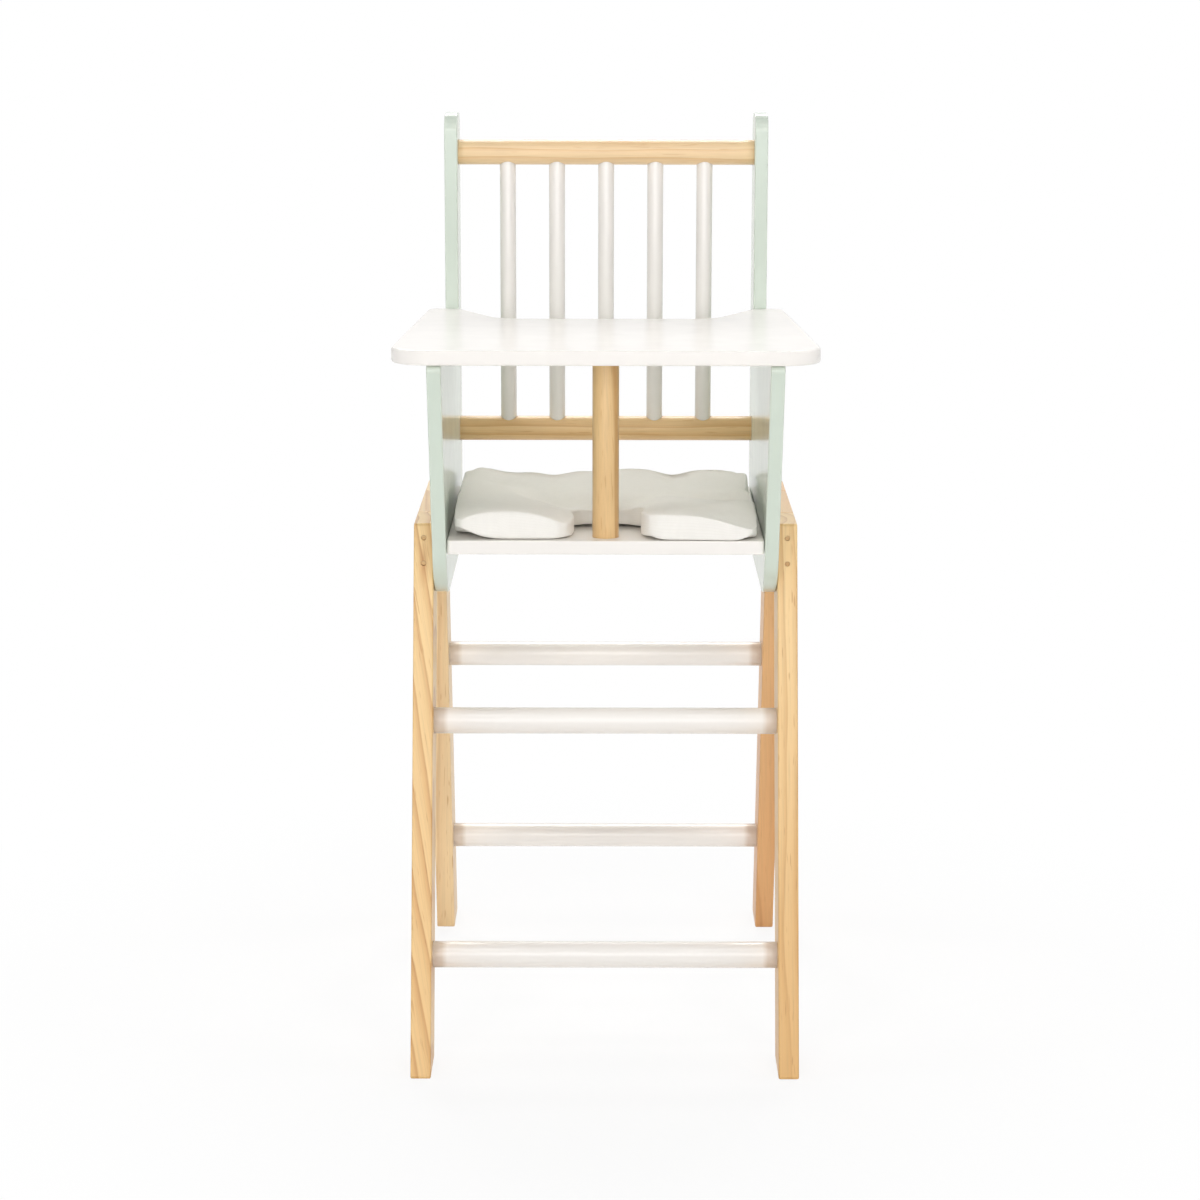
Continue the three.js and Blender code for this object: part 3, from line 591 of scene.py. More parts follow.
# %% Zinc for the screws
def brushed_zinc():
    material, tree, shader = new_material("zinc_plated_steel")
    shader.inputs["Metallic"].default_value = 1.0
    place = add_node(tree, "TexCoord").outputs["Object"]
    turned = noise_of(tree, place, 1800.0)
    cloudy = noise_of(tree, place, 300.0, 3.0)
    tone = blend_colours(tree, "MIX", cloudy, (0.50, 0.52, 0.55, 1.0), (0.66, 0.67, 0.69, 1.0))
    bump = add_node(tree, "Bump", {"Distance": 0.02 * MM, "Height": turned})
    feed(tree, tone, shader.inputs["Base Color"])
    feed(tree, calculate(tree, "MULTIPLY_ADD", turned, 0.2, 0.22), shader.inputs["Roughness"])
    feed(tree, bump.outputs["Normal"], shader.inputs["Normal"])
    return material


zinc = brushed_zinc()
print("zinc ready")


# %% Cotton for the cushion
def woven_cotton():
    values = {"Thread": srgb(247, 244, 238), "Gap": srgb(230, 226, 217), "Threads per Metre": 1400.0}
    material, shader, effect, place = surface_finish(
        "woven_cotton", cotton_weave, values, relief=0.08 * MM, strength=0.35)
    flat = add_node(material.node_tree, "UVMap", uv_map="flat_cloth")
    feed(material.node_tree, flat.outputs["UV"], effect.inputs["Vector"])
    shader.inputs["Sheen Weight"].default_value = 0.25
    shader.inputs["Sheen Roughness"].default_value = 0.5
    return material


cushion_cloth = woven_cotton()
print("cotton ready")

# %% [markdown]
# ## Modelling boards
#
# A board is cut from a blank, its corners are rounded in the face, its edges are routed round, and
# holes are bored. The same order works here: a cube is the blank, edit-mode bevels round its corners,
# a Bevel modifier is the router bit, and a Boolean modifier is the drill. The modifiers are applied at
# once, so that each finished board is a plain mesh in its place.

# %% Helpers for boards
def deselect_everything():
    if bpy.context.mode != "OBJECT":
        bpy.ops.object.mode_set(mode="OBJECT")
    bpy.ops.object.select_all(action="DESELECT")


def take_up(piece):
    """Makes a piece the active one and the only one selected."""
    deselect_everything()
    bpy.context.view_layer.objects.active = piece
    piece.select_set(True)


def blank(name, low, high):
    """A cube between two corners, its place in its mesh."""
    deselect_everything()
    low, high = Vector(low), Vector(high)
    bpy.ops.mesh.primitive_cube_add(size=1, location=(low + high) / 2)
    piece = bpy.context.object
    piece.scale = high - low
    bpy.ops.object.transform_apply(location=True, rotation=True, scale=True)
    piece.name = piece.data.name = name
    return piece


def pick(piece, kind, test):
    """In edit mode, selects the vertices, edges or faces whose middle passes the test."""
    if bpy.context.mode != "EDIT_MESH":
        bpy.ops.object.mode_set(mode="EDIT")
    bpy.ops.mesh.select_mode(type=kind)
    bpy.ops.mesh.select_all(action="DESELECT")
    mesh = bmesh.from_edit_mesh(piece.data)
    chosen = 0
    items = {"VERT": mesh.verts, "EDGE": mesh.edges, "FACE": mesh.faces}[kind]
    for item in items:
        middle = item.co if kind == "VERT" else sum((v.co for v in item.verts), Vector()) / len(item.verts)
        if test(middle):
            item.select_set(True)
            chosen += 1
    mesh.select_flush_mode()
    bmesh.update_edit_mesh(piece.data)
    return chosen


def leave_edit_mode():
    bpy.ops.object.mode_set(mode="OBJECT")


def slide(piece, test, offset):
    """Moves the corners that pass the test."""
    pick(piece, "VERT", test)
    bpy.ops.transform.translate(value=offset)
    leave_edit_mode()


def widen(piece, test, factor, centre):
    """Spreads the corners that pass the test sideways from a centre."""
    pick(piece, "VERT", test)
    bpy.ops.transform.resize(value=(factor, 1, 1), center_override=centre)
    leave_edit_mode()


def near(value, target, tolerance=0.2 * MM):
    return abs(value - target) < tolerance


def corner_angle(before, corner, after):
    """The angle inside a corner of an outline, in radians."""
    return (Vector(before) - Vector(corner)).angle(Vector(after) - Vector(corner))


def round_corner(piece, axis, corner, radius, angle=math.pi / 2, segments=10):
    """Rounds the straight edge that runs along axis through a corner given in the other two axes."""
    others = [i for i in range(3) if i != axis]
    found = pick(piece, "EDGE", lambda p: all(near(p[i], c) for i, c in zip(others, corner)))
    reach = radius / math.tan(angle / 2)
    bpy.ops.mesh.bevel(offset_type="OFFSET", offset=reach, segments=segments, profile=0.5, affect="EDGES")
    leave_edit_mode()
    if found != 1:
        print("corner of", piece.name, "at", [round(c / MM, 1) for c in corner], "found", found)


def apply_modifier(piece, modifier):
    take_up(piece)
    bpy.ops.object.modifier_apply(modifier=modifier.name)


def route_edges(piece, radius, segments=4):
    """The router bit: rounds every sharp edge of the outline."""
    bit = piece.modifiers.new("router_bit", "BEVEL")
    bit.width = radius
    bit.segments = segments
    bit.limit_method = "ANGLE"
    bit.angle_limit = SMOOTH_ANGLE
    bit.use_clamp_overlap = True
    apply_modifier(piece, bit)


def paint_edge_attribute(piece, widest=1.6 * MM):
    """Marks the narrow strips of the routed edges with 1, for the materials."""
    mesh = piece.data
    on_wide = set()
    for face in mesh.polygons:
        corners = [mesh.vertices[i].co for i in face.vertices]
        outline = sum((corners[i] - corners[i - 1]).length for i in range(len(corners)))
        if 2 * face.area / outline >= widest:
            on_wide.update(face.vertices)
    attribute = mesh.attributes.new("edge", "FLOAT", "POINT")
    attribute.data.foreach_set("value", [0.0 if i in on_wide else 1.0 for i in range(len(mesh.vertices))])


def drill(piece, cutters):
    """Bores the piece with each cutter, and removes the cutters."""
    for cutter in cutters:
        bore = piece.modifiers.new("drill", "BOOLEAN")
        bore.operation = "DIFFERENCE"
        bore.solver = "EXACT"
        bore.object = cutter
        apply_modifier(piece, bore)
        bpy.data.objects.remove(cutter)


def smooth_board(piece):
    """Smooth shading over the roundings, with normals that keep the flat faces flat."""
    take_up(piece)
    bpy.ops.object.shade_smooth_by_angle(angle=SMOOTH_ANGLE)
    weighted = piece.modifiers.new("flat_faces", "WEIGHTED_NORMAL")
    weighted.keep_sharp = True
    apply_modifier(piece, weighted)


def dress(piece, material, body, slot, node):
    """Gives a finished piece its material and body, and lets it stand for its CAD node. The slot is not
    used.
    """
    piece.data.materials.clear()
    piece.data.materials.append(material)
    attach(piece, body)
    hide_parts(node)
    print(piece.name, "faces", len(piece.data.polygons))


def finish_board(piece, edge_radius, cutters, *looks):
    """Routes the edges, bores the holes and dresses the board."""
    route_edges(piece, edge_radius)
    paint_edge_attribute(piece)
    drill(piece, cutters)
    smooth_board(piece)
    dress(piece, *looks)


# %% Helpers for round stock and bores
AXIS_TURN = {0: (0, math.pi / 2, 0), 1: (math.pi / 2, 0, 0), 2: (0, 0, 0)}
RIM_SHARE = 0.97                # of a dowel's radius; only its rim lies further out


def rod(name, axis, radius, start, end, centre, sides=ROUND_SIDES):
    """A cylinder along an axis from start to end. centre gives its other two coordinates."""
    deselect_everything()
    place = Vector(centre)
    place[axis] = (start + end) / 2
    bpy.ops.mesh.primitive_cylinder_add(
        vertices=sides, radius=radius, depth=abs(end - start), location=place, rotation=AXIS_TURN[axis])
    piece = bpy.context.object
    bpy.ops.object.transform_apply(location=True, rotation=True, scale=True)
    piece.name = piece.data.name = name
    return piece


def dowel(name, axis, radius, start, end, centre):
    """Turned stock: a rod whose two end edges are beveled."""
    piece = rod(name, axis, radius, start, end, centre)

    def on_end(p):
        return near(p[axis], start) or near(p[axis], end)

    def on_rim(p):
        from_axis = p - Vector(centre)
        from_axis[axis] = 0
        return on_end(p) and from_axis.length > RIM_SHARE * radius

    pick(piece, "FACE", on_end)
    bpy.ops.mesh.inset(thickness=DOWEL_END_BEVEL, depth=0)
    pick(piece, "EDGE", on_rim)
    bpy.ops.mesh.bevel(offset=DOWEL_END_BEVEL * 0.8, segments=3, affect="EDGES")
    leave_edit_mode()
    return piece


def middle_of(node):
    low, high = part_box(node)
    return (low + high) / 2


def side_sockets(board, side, nodes):
    """Bores in a side board, from its inner face, for the ends of rungs or rails."""
    low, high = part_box(board)
    inner = low.x if side > 0 else high.x
    return [rod("socket", 0, DOWEL_RADIUS + JOINT_GAP, inner - side * OVERRUN,
                inner + side * SOCKET_DEPTH, middle_of(node)) for node in nodes]


print("round stock helpers ready")

# %% [markdown]
# ## The screws
#
# Countersunk hex-key screws pull the rungs, the seat and the back rails tight between the side boards.
# One screw is modelled from a cylinder: its top face is extruded and widened to the cone of the head,
# the rim is extruded straight, and a six-sided bore makes the key socket. A slightly fatter one with no
# socket is the drill that sinks its hole. Both are copied to all sixteen places.

# %% One screw and its drill
def screw_blank(name, length, gap, sides):
    """Along +X, the top of its head at X = 0 and its tip at -length."""
    piece = rod(name, 0, SCREW_SHANK_RADIUS + gap, -length - gap, -SCREW_HEAD_DEPTH - gap, (0, 0, 0), sides)
    top = -SCREW_HEAD_DEPTH - gap
    pick(piece, "FACE", lambda p: near(p.x, top, 0.01 * MM))
    flare = (SCREW_HEAD_RADIUS + gap) / (SCREW_SHANK_RADIUS + gap)
    bpy.ops.mesh.extrude_region_move(TRANSFORM_OT_translate={"value": (SCREW_HEAD_DEPTH - SCREW_RIM, 0, 0)})
    bpy.ops.transform.resize(value=(1, flare, flare))
    bpy.ops.mesh.extrude_region_move(TRANSFORM_OT_translate={"value": (SCREW_RIM + gap, 0, 0)})
    if gap:
        bpy.ops.mesh.extrude_region_move(TRANSFORM_OT_translate={"value": (OVERRUN, 0, 0)})
    leave_edit_mode()
    return piece


def finished_screw(name, length):
    piece = screw_blank(name, length, 0.0, SMALL_SIDES * 2)
    pick(piece, "FACE", lambda p: near(p.x, -length, 0.01 * MM))
    bpy.ops.transform.translate(value=(-SCREW_POINT, 0, 0))
    bpy.ops.transform.resize(value=(1, SCREW_TIP_SHARE, SCREW_TIP_SHARE))
    leave_edit_mode()
    key = rod("hex_key", 0, HEX_KEY_RADIUS, -HEX_KEY_DEPTH, OVERRUN, (0, 0, 0), 6)
    drill(piece, [key])
    smooth_board(piece)
    return piece


def placed_copy(source, name, side, point):
    """A copy of a shape modelled along +X, turned to the given side and moved to a point."""
    copy = source.copy()
    copy.data = source.data.copy()
    copy.name = copy.data.name = name
    bpy.context.scene.collection.objects.link(copy)
    turn = Matrix.Rotation(0 if side > 0 else math.pi, 4, "Z")
    copy.data.transform(Matrix.Translation(point) @ turn)
    return copy


# Every screw of the chair: its place on the outer face is read from the CAD screw
screw_places = {}
for node in sorted(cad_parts):
    if "_screw_" in node:
        low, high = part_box(node)
        side = 1 if high.x > 0 else -1
        point = (low + high) / 2
        point.x = high.x if side > 0 else low.x
        screw_places[node] = (side, point, high.x - low.x)

screw_model = {}
for node, (side, point, length) in screw_places.items():
    kind = node.split("_")[0]
    if kind not in screw_model:
        screw_model[kind] = finished_screw(f"{kind}_screw_model", length)
    screw = placed_copy(screw_model[kind], f"{node}_turned", side, point)
    dress(screw, zinc, "chair_frame", "zinc_screw", node)
for model in screw_model.values():
    bpy.data.objects.remove(model)


def screw_drills(test):
    """Drills for the screws whose node name passes the test."""
    drills = []
    for node, (side, point, length) in screw_places.items():
        if test(node):
            source = screw_blank("drill_model", length, JOINT_GAP, SMALL_SIDES)
            drills.append(placed_copy(source, f"drill_{node}", side, point))
            bpy.data.objects.remove(source)
    return drills


print("screws:", len(screw_places))

# %% [markdown]
# ## The legs
#
# A leg is a board 13 mm thick that leans outwards, so its outline is a slanted strip with level ends.
# It starts as an upright blank, and in edit mode its top end slides inwards. The rungs sit in blind
# sockets, and two dowel pins come in from the leg's edge.

# %% Legs
def pin_drills(side_name, ends):
    drills = []
    for end in ends:
        for level in LEVELS:
            low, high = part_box(f"frame_pin_{end}_{level}_{side_name}")
            centre = (low + high) / 2
            reach = OVERRUN * ENDS[end]
            start, stop = (low.y + reach, high.y) if ENDS[end] < 0 else (low.y, high.y + reach)
            drills.append(rod("pin_drill", 1, PIN_RADIUS + PIN_GAP, start, stop, centre, SMALL_SIDES))
    return drills


def leg(side_name, end_name):
    side, end = SIDES[side_name], ENDS[end_name]
    node = f"{end_name}_leg_{side_name}"
    low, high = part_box(node)
    outer, inner = end * FRAME_FOOT_REACH, end * (FRAME_FOOT_REACH - LEG_WIDTH)
    piece = blank(f"{node}_board", (low.x, min(outer, inner), low.z), (high.x, max(outer, inner), high.z))
    lean = FRAME_FOOT_REACH - FRAME_TOP_REACH
    slide(piece, lambda p: near(p.z, high.z), (0, -end * lean, 0))

    slope = math.atan(lean / (high.z - low.z))
    round_corner(piece, 0, (outer, low.z), FOOT_CORNER_RADIUS, math.pi / 2 - slope)
    round_corner(piece, 0, (inner, low.z), FOOT_CORNER_RADIUS, math.pi / 2 + slope)
    round_corner(piece, 0, (end * FRAME_TOP_REACH, high.z), FRAME_CORNER_RADIUS, math.pi / 2 + slope)

    cutters = screw_drills(lambda n: n.startswith(f"rung_screw_{end_name}") and n.endswith(side_name))
    cutters += side_sockets(node, side, [f"{end_name}_{level}_rung" for level in LEVELS])
    cutters += pin_drills(side_name, [end_name])
    finish_board(piece, LEG_EDGE_RADIUS, cutters,
                 pine_legs[side_name, end_name], "chair_frame", "pine_board", node)


for side_name in SIDES:
    for end_name in ENDS:
        leg(side_name, end_name)

# %% [markdown]
# ## The rails of the side frames
#
# Between the tops of two legs lies a short rail, its ends cut to the lean of the legs. On the real
# chair it is glued and pinned. Here the blank is a cube whose four upper corners are slid to the slant.

# %% Frame rails
def frame_rail(side_name):
    node = f"frame_rail_{side_name}"
    low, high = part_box(node)
    lean = (FRAME_FOOT_REACH - FRAME_TOP_REACH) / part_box(f"front_leg_{side_name}")[1].z
    piece = blank(f"{node}_board", low, high)
    for end in ENDS.values():
        edge = high.y if end > 0 else low.y
        slide(piece, lambda p: near(p.z, high.z) and near(p.y, edge),
              (0, -end * lean * (high.z - low.z), 0))
    cutters = screw_drills(lambda n: n.startswith("seat_screw") and n.endswith(side_name))
    cutters += pin_drills(side_name, ENDS)
    finish_board(piece, LEG_EDGE_RADIUS, cutters, pine_frame_rail, "chair_frame", "pine_board", node)


for side_name in SIDES:
    frame_rail(side_name)


# %% Frame pins
for node in sorted(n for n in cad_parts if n.startswith("frame_pin_")):
    low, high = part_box(node)
    pin = rod(f"{node}_dowel", 1, PIN_RADIUS, low.y, high.y, (low + high) / 2, SMALL_SIDES)
    pick(pin, "FACE", lambda p: near(p.y, low.y) or near(p.y, high.y))
    bpy.ops.mesh.inset(thickness=PIN_END_BEVEL, depth=PIN_END_BEVEL / 2)
    leave_edit_mode()
    smooth_board(pin)
    dress(pin, pin_wood[node.split("_")[-1]], "chair_frame", "pin_wood", node)

# %% [markdown]
# ## The side panels
#
# Each side panel is one board that is both arm and back post. The blank is as high as the arm. A
# slanted cut takes off its front, a second cut marks where the post starts, and the face behind that
# cut is extruded up to the post's full height.

# %% Side panels
def cut_plane(piece, point, normal, clear):
    """A saw cut through the whole piece. With clear, what lies on the normal's side falls off."""
    bpy.ops.object.mode_set(mode="EDIT")
    bpy.ops.mesh.select_all(action="SELECT")
    bpy.ops.mesh.bisect(plane_co=point, plane_no=normal, use_fill=clear, clear_outer=clear)
    leave_edit_mode()


def side_panel(side_name):
    side = SIDES[side_name]
    node = f"side_panel_{side_name}"
    low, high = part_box(node)
    arm_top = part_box("tray")[0].z - JOINT_GAP
    post_front = high.y - POST_DEPTH
    piece = blank(f"{node}_board", (low.x, -ARM_FRONT - OVERRUN, low.z), (high.x, high.y, arm_top))
    toe, tip = Vector((0, -PANEL_FRONT_FOOT, low.z)), Vector((0, -ARM_FRONT, arm_top))
    slant = tip - toe
    cut_plane(piece, toe, (0, -slant.z, slant.y), True)
    cut_plane(piece, (0, post_front, 0), (0, 1, 0), False)
    pick(piece, "FACE", lambda p: near(p.z, arm_top) and p.y > post_front)
    bpy.ops.mesh.extrude_region_move(TRANSFORM_OT_translate={"value": (0, 0, high.z - arm_top)})
    pick(piece, "EDGE",
         lambda p: near(p.y, post_front) and p.z < arm_top + OVERRUN and not near(p.z, arm_top))
    bpy.ops.mesh.dissolve_edges(use_verts=False)
    leave_edit_mode()

    toe_angle = corner_angle(tip, toe, (0, high.y, low.z))
    tip_angle = math.pi - toe_angle
    round_corner(piece, 0, (high.y, low.z), PANEL_HEEL_RADIUS)
    round_corner(piece, 0, (high.y, high.z), POST_TOP_RADIUS)
    round_corner(piece, 0, (post_front, high.z), POST_TOP_RADIUS)
    round_corner(piece, 0, (tip.y, tip.z), ARM_TIP_RADIUS, tip_angle)
    round_corner(piece, 0, (toe.y, toe.z), PANEL_TOE_RADIUS, toe_angle, 14)

    cutters = screw_drills(lambda n: not n.startswith("rung") and n.endswith(side_name))
    cutters += side_sockets(node, side, BACK_RAILS)
    finish_board(piece, PANEL_EDGE_RADIUS, cutters, mint_paint, "chair_frame", "mint_paint", node)


for side_name in SIDES:
    side_panel(side_name)

# %% [markdown]
# ## The seat and the tray
#
# The seat is a plain rounded board with a hole for the crotch post. The tray is a wider board that
# tapers to the rear, with a cut-out for the doll's belly. The cut-out is sawn with a cutter that is a
# tapered block with rounded front corners, the shape of the waste piece.

# %% Seat
def seat():
    low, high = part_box("seat_board")
    piece = blank("seat_board_panel", low, high)
    for y in (low.y, high.y):
        for x in (low.x, high.x):
            round_corner(piece, 2, (x, y), SEAT_CORNER_RADIUS, segments=6)
    bore = rod("post_bore", 2, DOWEL_RADIUS + JOINT_GAP, low.z - OVERRUN, high.z + OVERRUN,
               middle_of("crotch_post"))
    finish_board(piece, SEAT_EDGE_RADIUS, [bore], white_paint, "chair_frame", "white_paint", "seat_board")


seat()


# %% Tray
def tray():
    low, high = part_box("tray")
    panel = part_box("side_panel_right")[0].x
    piece = blank("tray_board", (-TRAY_FRONT_HALF_WIDTH, low.y, low.z),
                  (TRAY_FRONT_HALF_WIDTH, high.y, high.z))
    widen(piece, lambda p: near(p.y, high.y), TRAY_WING_HALF_WIDTH / TRAY_FRONT_HALF_WIDTH,
          (0, high.y, low.z))

    belly_front = high.y - WING_LENGTH
    flare = (panel - BELLY_HALF_WIDTH) / WING_LENGTH
    rear = high.y + OVERRUN
    waste = blank("belly_waste", (-BELLY_HALF_WIDTH, belly_front, low.z - OVERRUN),
                  (BELLY_HALF_WIDTH, rear, high.z + OVERRUN))
    rear_half = BELLY_HALF_WIDTH + flare * (rear - belly_front)
    widen(waste, lambda p: near(p.y, rear), rear_half / BELLY_HALF_WIDTH, (0, rear, 0))
    belly_angle = math.pi / 2 + math.atan(flare)
    for side in SIDES.values():
        round_corner(waste, 2, (side * BELLY_HALF_WIDTH, belly_front), BELLY_CORNER_RADIUS, belly_angle, 14)
    drill(piece, [waste])

    front_angle = corner_angle((-1, 0, 0), (0, 0, 0), (
        TRAY_WING_HALF_WIDTH - TRAY_FRONT_HALF_WIDTH, high.y - low.y, 0))
    for side in SIDES.values():
        round_corner(piece, 2, (side * TRAY_FRONT_HALF_WIDTH, low.y), TRAY_FRONT_RADIUS, front_angle, 14)
        round_corner(piece, 2, (side * TRAY_WING_HALF_WIDTH, high.y), TRAY_WING_RADIUS,
                     math.pi - front_angle)
        round_corner(piece, 2, (side * panel, high.y), WING_TIP_RADIUS, math.pi - belly_angle, 6)
    cutters = [rod("post_socket", 2, DOWEL_RADIUS + JOINT_GAP, low.z - OVERRUN, low.z + SOCKET_DEPTH,
                   middle_of("crotch_post"))]
    for node in sorted(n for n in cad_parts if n.startswith("tray_peg_")):
        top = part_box(node)[1].z
        cutters.append(rod("peg_socket", 2, PEG_RADIUS + JOINT_GAP, low.z - OVERRUN, top + JOINT_GAP,
                           middle_of(node), SMALL_SIDES))
    finish_board(piece, TRAY_EDGE_RADIUS, cutters, white_paint, "lift_off_tray", "white_paint", "tray")


tray()

# %% [markdown]
# ## Turned pieces
#
# Rungs, back rails, spindles and the crotch post are dowels. A dowel leaves the lathe with its end
# edges broken, which the bevel copies. The back rails are bored for the spindles, and where a round
# spindle enters a round rail the rim of the bore rises to a small arch, as in the photograph.

# %% Rungs, back rails, spindles and crotch post
def turned_piece(node, axis, radius, bores, *looks):
    low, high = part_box(node)
    piece = dowel(f"{node}_dowel", axis, radius, low[axis], high[axis], middle_of(node))
    drill(piece, bores)
    take_up(piece)
    bpy.ops.object.shade_smooth_by_angle(angle=DOWEL_SMOOTH_ANGLE)
    dress(piece, *looks, node)


# the rungs' paint carries painted shade near their ends
for end_name in ENDS:
    for level in LEVELS:
        turned_piece(f"{end_name}_{level}_rung", 0, DOWEL_RADIUS, [],
                     rung_paint_end_shade, "chair_frame", "white_paint")

spindle_nodes = sorted(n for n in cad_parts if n.startswith("back_spindle_"))
for node, face in BACK_RAILS.items():
    surface = middle_of(node).z + face * DOWEL_RADIUS
    bores = [rod("spindle_bore", 2, SPINDLE_RADIUS + JOINT_GAP, surface - face * SPINDLE_SOCKET_DEPTH,
                 surface + face * OVERRUN, middle_of(spindle)) for spindle in spindle_nodes]
    turned_piece(node, 0, DOWEL_RADIUS, bores, pine_back_rails[node], "chair_frame", "pine_dowel")

for node in spindle_nodes:
    turned_piece(node, 2, SPINDLE_RADIUS, [], white_paint, "chair_frame", "white_paint")
turned_piece("crotch_post", 2, DOWEL_RADIUS, [], pine_crotch_post, "lift_off_tray", "pine_dowel")

# %% [markdown]
# ## The cushion
#
# The cushion is a flat U of cotton, sewn shut and filled with wadding, with a notch for the crotch
# post. A bent slab would look stiff, so the cover is simulated as cloth. It starts as a thin slab, its
# surface is rebuilt from small even squares, and pressure inside blows it up like a real filling. Its
# UV map is laid before that, while the cloth is flat, so that the weave follows the folds.

# %% Cushion cover, cut flat
CUSHION_HALF_WIDTH = 95 * MM
CUSHION_FRONT = 110 * MM
CUSHION_REAR = 63 * MM
COVER_THICKNESS = 15 * MM
COVER_RISE = 10 * MM            # of its middle above the seat
COVER_EDGE_RADIUS = 5 * MM
NOTCH_HALF_WIDTH = 24.5 * MM
NOTCH_SHIFT = 1.2 * MM
NOTCH_FLARE = 2 * MM
NOTCH_REAR = 81 * MM
NOTCH_CORNER_RADIUS = 9 * MM
MOUTH_ROUNDING = 12 * MM
COVER_CORNER_RADIUS = 6 * MM
COVER_CELL = 3.2 * MM
seat_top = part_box("seat_board")[1].z

middle = seat_top + COVER_RISE
low_level, high_level = middle - COVER_THICKNESS / 2, middle + COVER_THICKNESS / 2
cover = blank("cushion_cover", (-CUSHION_HALF_WIDTH, -CUSHION_FRONT, low_level),
              (CUSHION_HALF_WIDTH, CUSHION_REAR, high_level))
notch = blank("notch_waste", (-NOTCH_HALF_WIDTH, -CUSHION_FRONT - OVERRUN, low_level - OVERRUN),
              (NOTCH_HALF_WIDTH, -NOTCH_REAR, high_level + OVERRUN))
widen(notch, lambda p: p.y < -CUSHION_FRONT, 1 + NOTCH_FLARE / NOTCH_HALF_WIDTH, (0, 0, 0))
for side in SIDES.values():
    round_corner(notch, 2, (side * NOTCH_HALF_WIDTH, -NOTCH_REAR), NOTCH_CORNER_RADIUS)
for vertex in notch.data.vertices:
    vertex.co.x += NOTCH_SHIFT
drill(cover, [notch])
pick(cover, "EDGE",
     lambda p: near(p.y, -CUSHION_FRONT) and near(p.z, middle) and abs(p.x) < CUSHION_HALF_WIDTH / 2)
bpy.ops.mesh.bevel(offset=MOUTH_ROUNDING, segments=8, affect="EDGES")
leave_edit_mode()
for side in SIDES.values():
    for y in (-CUSHION_FRONT, CUSHION_REAR):
        round_corner(cover, 2, (side * CUSHION_HALF_WIDTH, y), COVER_CORNER_RADIUS)
route_edges(cover, COVER_EDGE_RADIUS, 3)
cells = cover.modifiers.new("even_cells", "REMESH")
cells.mode = "VOXEL"
cells.voxel_size = COVER_CELL
apply_modifier(cover, cells)
print("cover vertices:", len(cover.data.vertices))

# %% Bow the edges of the flat cover
SIDE_BOW = 1 * MM
FRONT_BOW = 4 * MM
REAR_BOW = 3 * MM
LOBE_MIDDLE = (CUSHION_HALF_WIDTH + NOTCH_HALF_WIDTH) / 2
LOBE_REACH = (CUSHION_HALF_WIDTH - NOTCH_HALF_WIDTH) / 2


def hump(distance, reach):
    return max(0.0, 1 - (distance / reach) ** 2)


cushion_middle = (CUSHION_REAR - CUSHION_FRONT) / 2
for vertex in cover.data.vertices:
    place = vertex.co
    sideways = SIDE_BOW * hump(place.y - cushion_middle, CUSHION_REAR - cushion_middle)
    place.x += sideways * (place.x / CUSHION_HALF_WIDTH) ** 3
    if place.y < 0:
        lobe = hump(abs(place.x) - LOBE_MIDDLE, LOBE_REACH)
        place.y -= FRONT_BOW * lobe * (place.y / CUSHION_FRONT) ** 2
    else:
        place.y += REAR_BOW * hump(place.x, CUSHION_HALF_WIDTH) * place.y / CUSHION_REAR
print("edges bowed")

# %% Lay the UV map on the flat cloth
FACES_UP = 0.6                  # share of a normal that points up or down on the flat sides
FACES_ASIDE = 0.5               # and on the walls, where it is less

flat_uv = cover.data.uv_layers.new(name="flat_cloth")
for face in cover.data.polygons:
    lean = face.normal
    for loop_index in face.loop_indices:
        place = cover.data.vertices[cover.data.loops[loop_index].vertex_index].co
        if abs(lean.z) > FACES_UP:
            on_cloth = (place.x, place.y)
        elif abs(lean.y) > abs(lean.x):
            on_cloth = (place.x, place.z)
        else:
            on_cloth = (place.z, place.y)
        flat_uv.data[loop_index].uv = on_cloth
seam_attribute = cover.data.attributes.new("seam", "FLOAT", "POINT")
seam_values = []
for vertex in cover.data.vertices:
    across = abs(vertex.co.z - middle) / COVER_CELL
    on_wall = abs(vertex.normal.z) < FACES_ASIDE
    seam_values.append(max(0.0, 1 - across) if on_wall else 0.0)
seam_attribute.data.foreach_set("value", seam_values)
rest_places = [v.co.copy() for v in cover.data.vertices]
print("uv laid, seam vertices:", sum(v > 0 for v in seam_values))

# %% Blow up the cover
SIMULATION_FRAMES = 20
LONGEST_MOVE = 22 * MM
COTTON = {
    "quality": 5, "mass": 0.2, "tension_stiffness": 20, "compression_stiffness": 20, "shear_stiffness": 8,
    "bending_stiffness": 0.3, "use_pressure": True, "uniform_pressure_force": 4}

cloth = cover.modifiers.new("cotton", "CLOTH")
for name, value in COTTON.items():
    setattr(cloth.settings, name, value)
cloth.settings.effector_weights.gravity = 0
cloth.point_cache.frame_start = 1
cloth.point_cache.frame_end = SIMULATION_FRAMES
for frame_number in range(1, SIMULATION_FRAMES + 1):
    bpy.context.scene.frame_set(frame_number)
graph = bpy.context.evaluated_depsgraph_get()
blown = cover.evaluated_get(graph).data
moved = []
for start, vertex in zip(rest_places, blown.vertices):
    step = vertex.co - start
    if step.length > LONGEST_MOVE:
        step = step.normalized() * LONGEST_MOVE
    moved.append(start + step)
cover.modifiers.remove(cloth)
bpy.context.scene.frame_set(1)
for vertex, place in zip(cover.data.vertices, moved):
    vertex.co = place


def span_of(piece):
    lows = [min(v.co[i] for v in piece.data.vertices) for i in range(3)]
    highs = [max(v.co[i] for v in piece.data.vertices) for i in range(3)]
    return Vector(lows), Vector(highs)


blown_low, blown_high = span_of(cover)
print("blown cover in mm:", [round(v / MM, 1) for v in blown_low], [round(v / MM, 1) for v in blown_high])

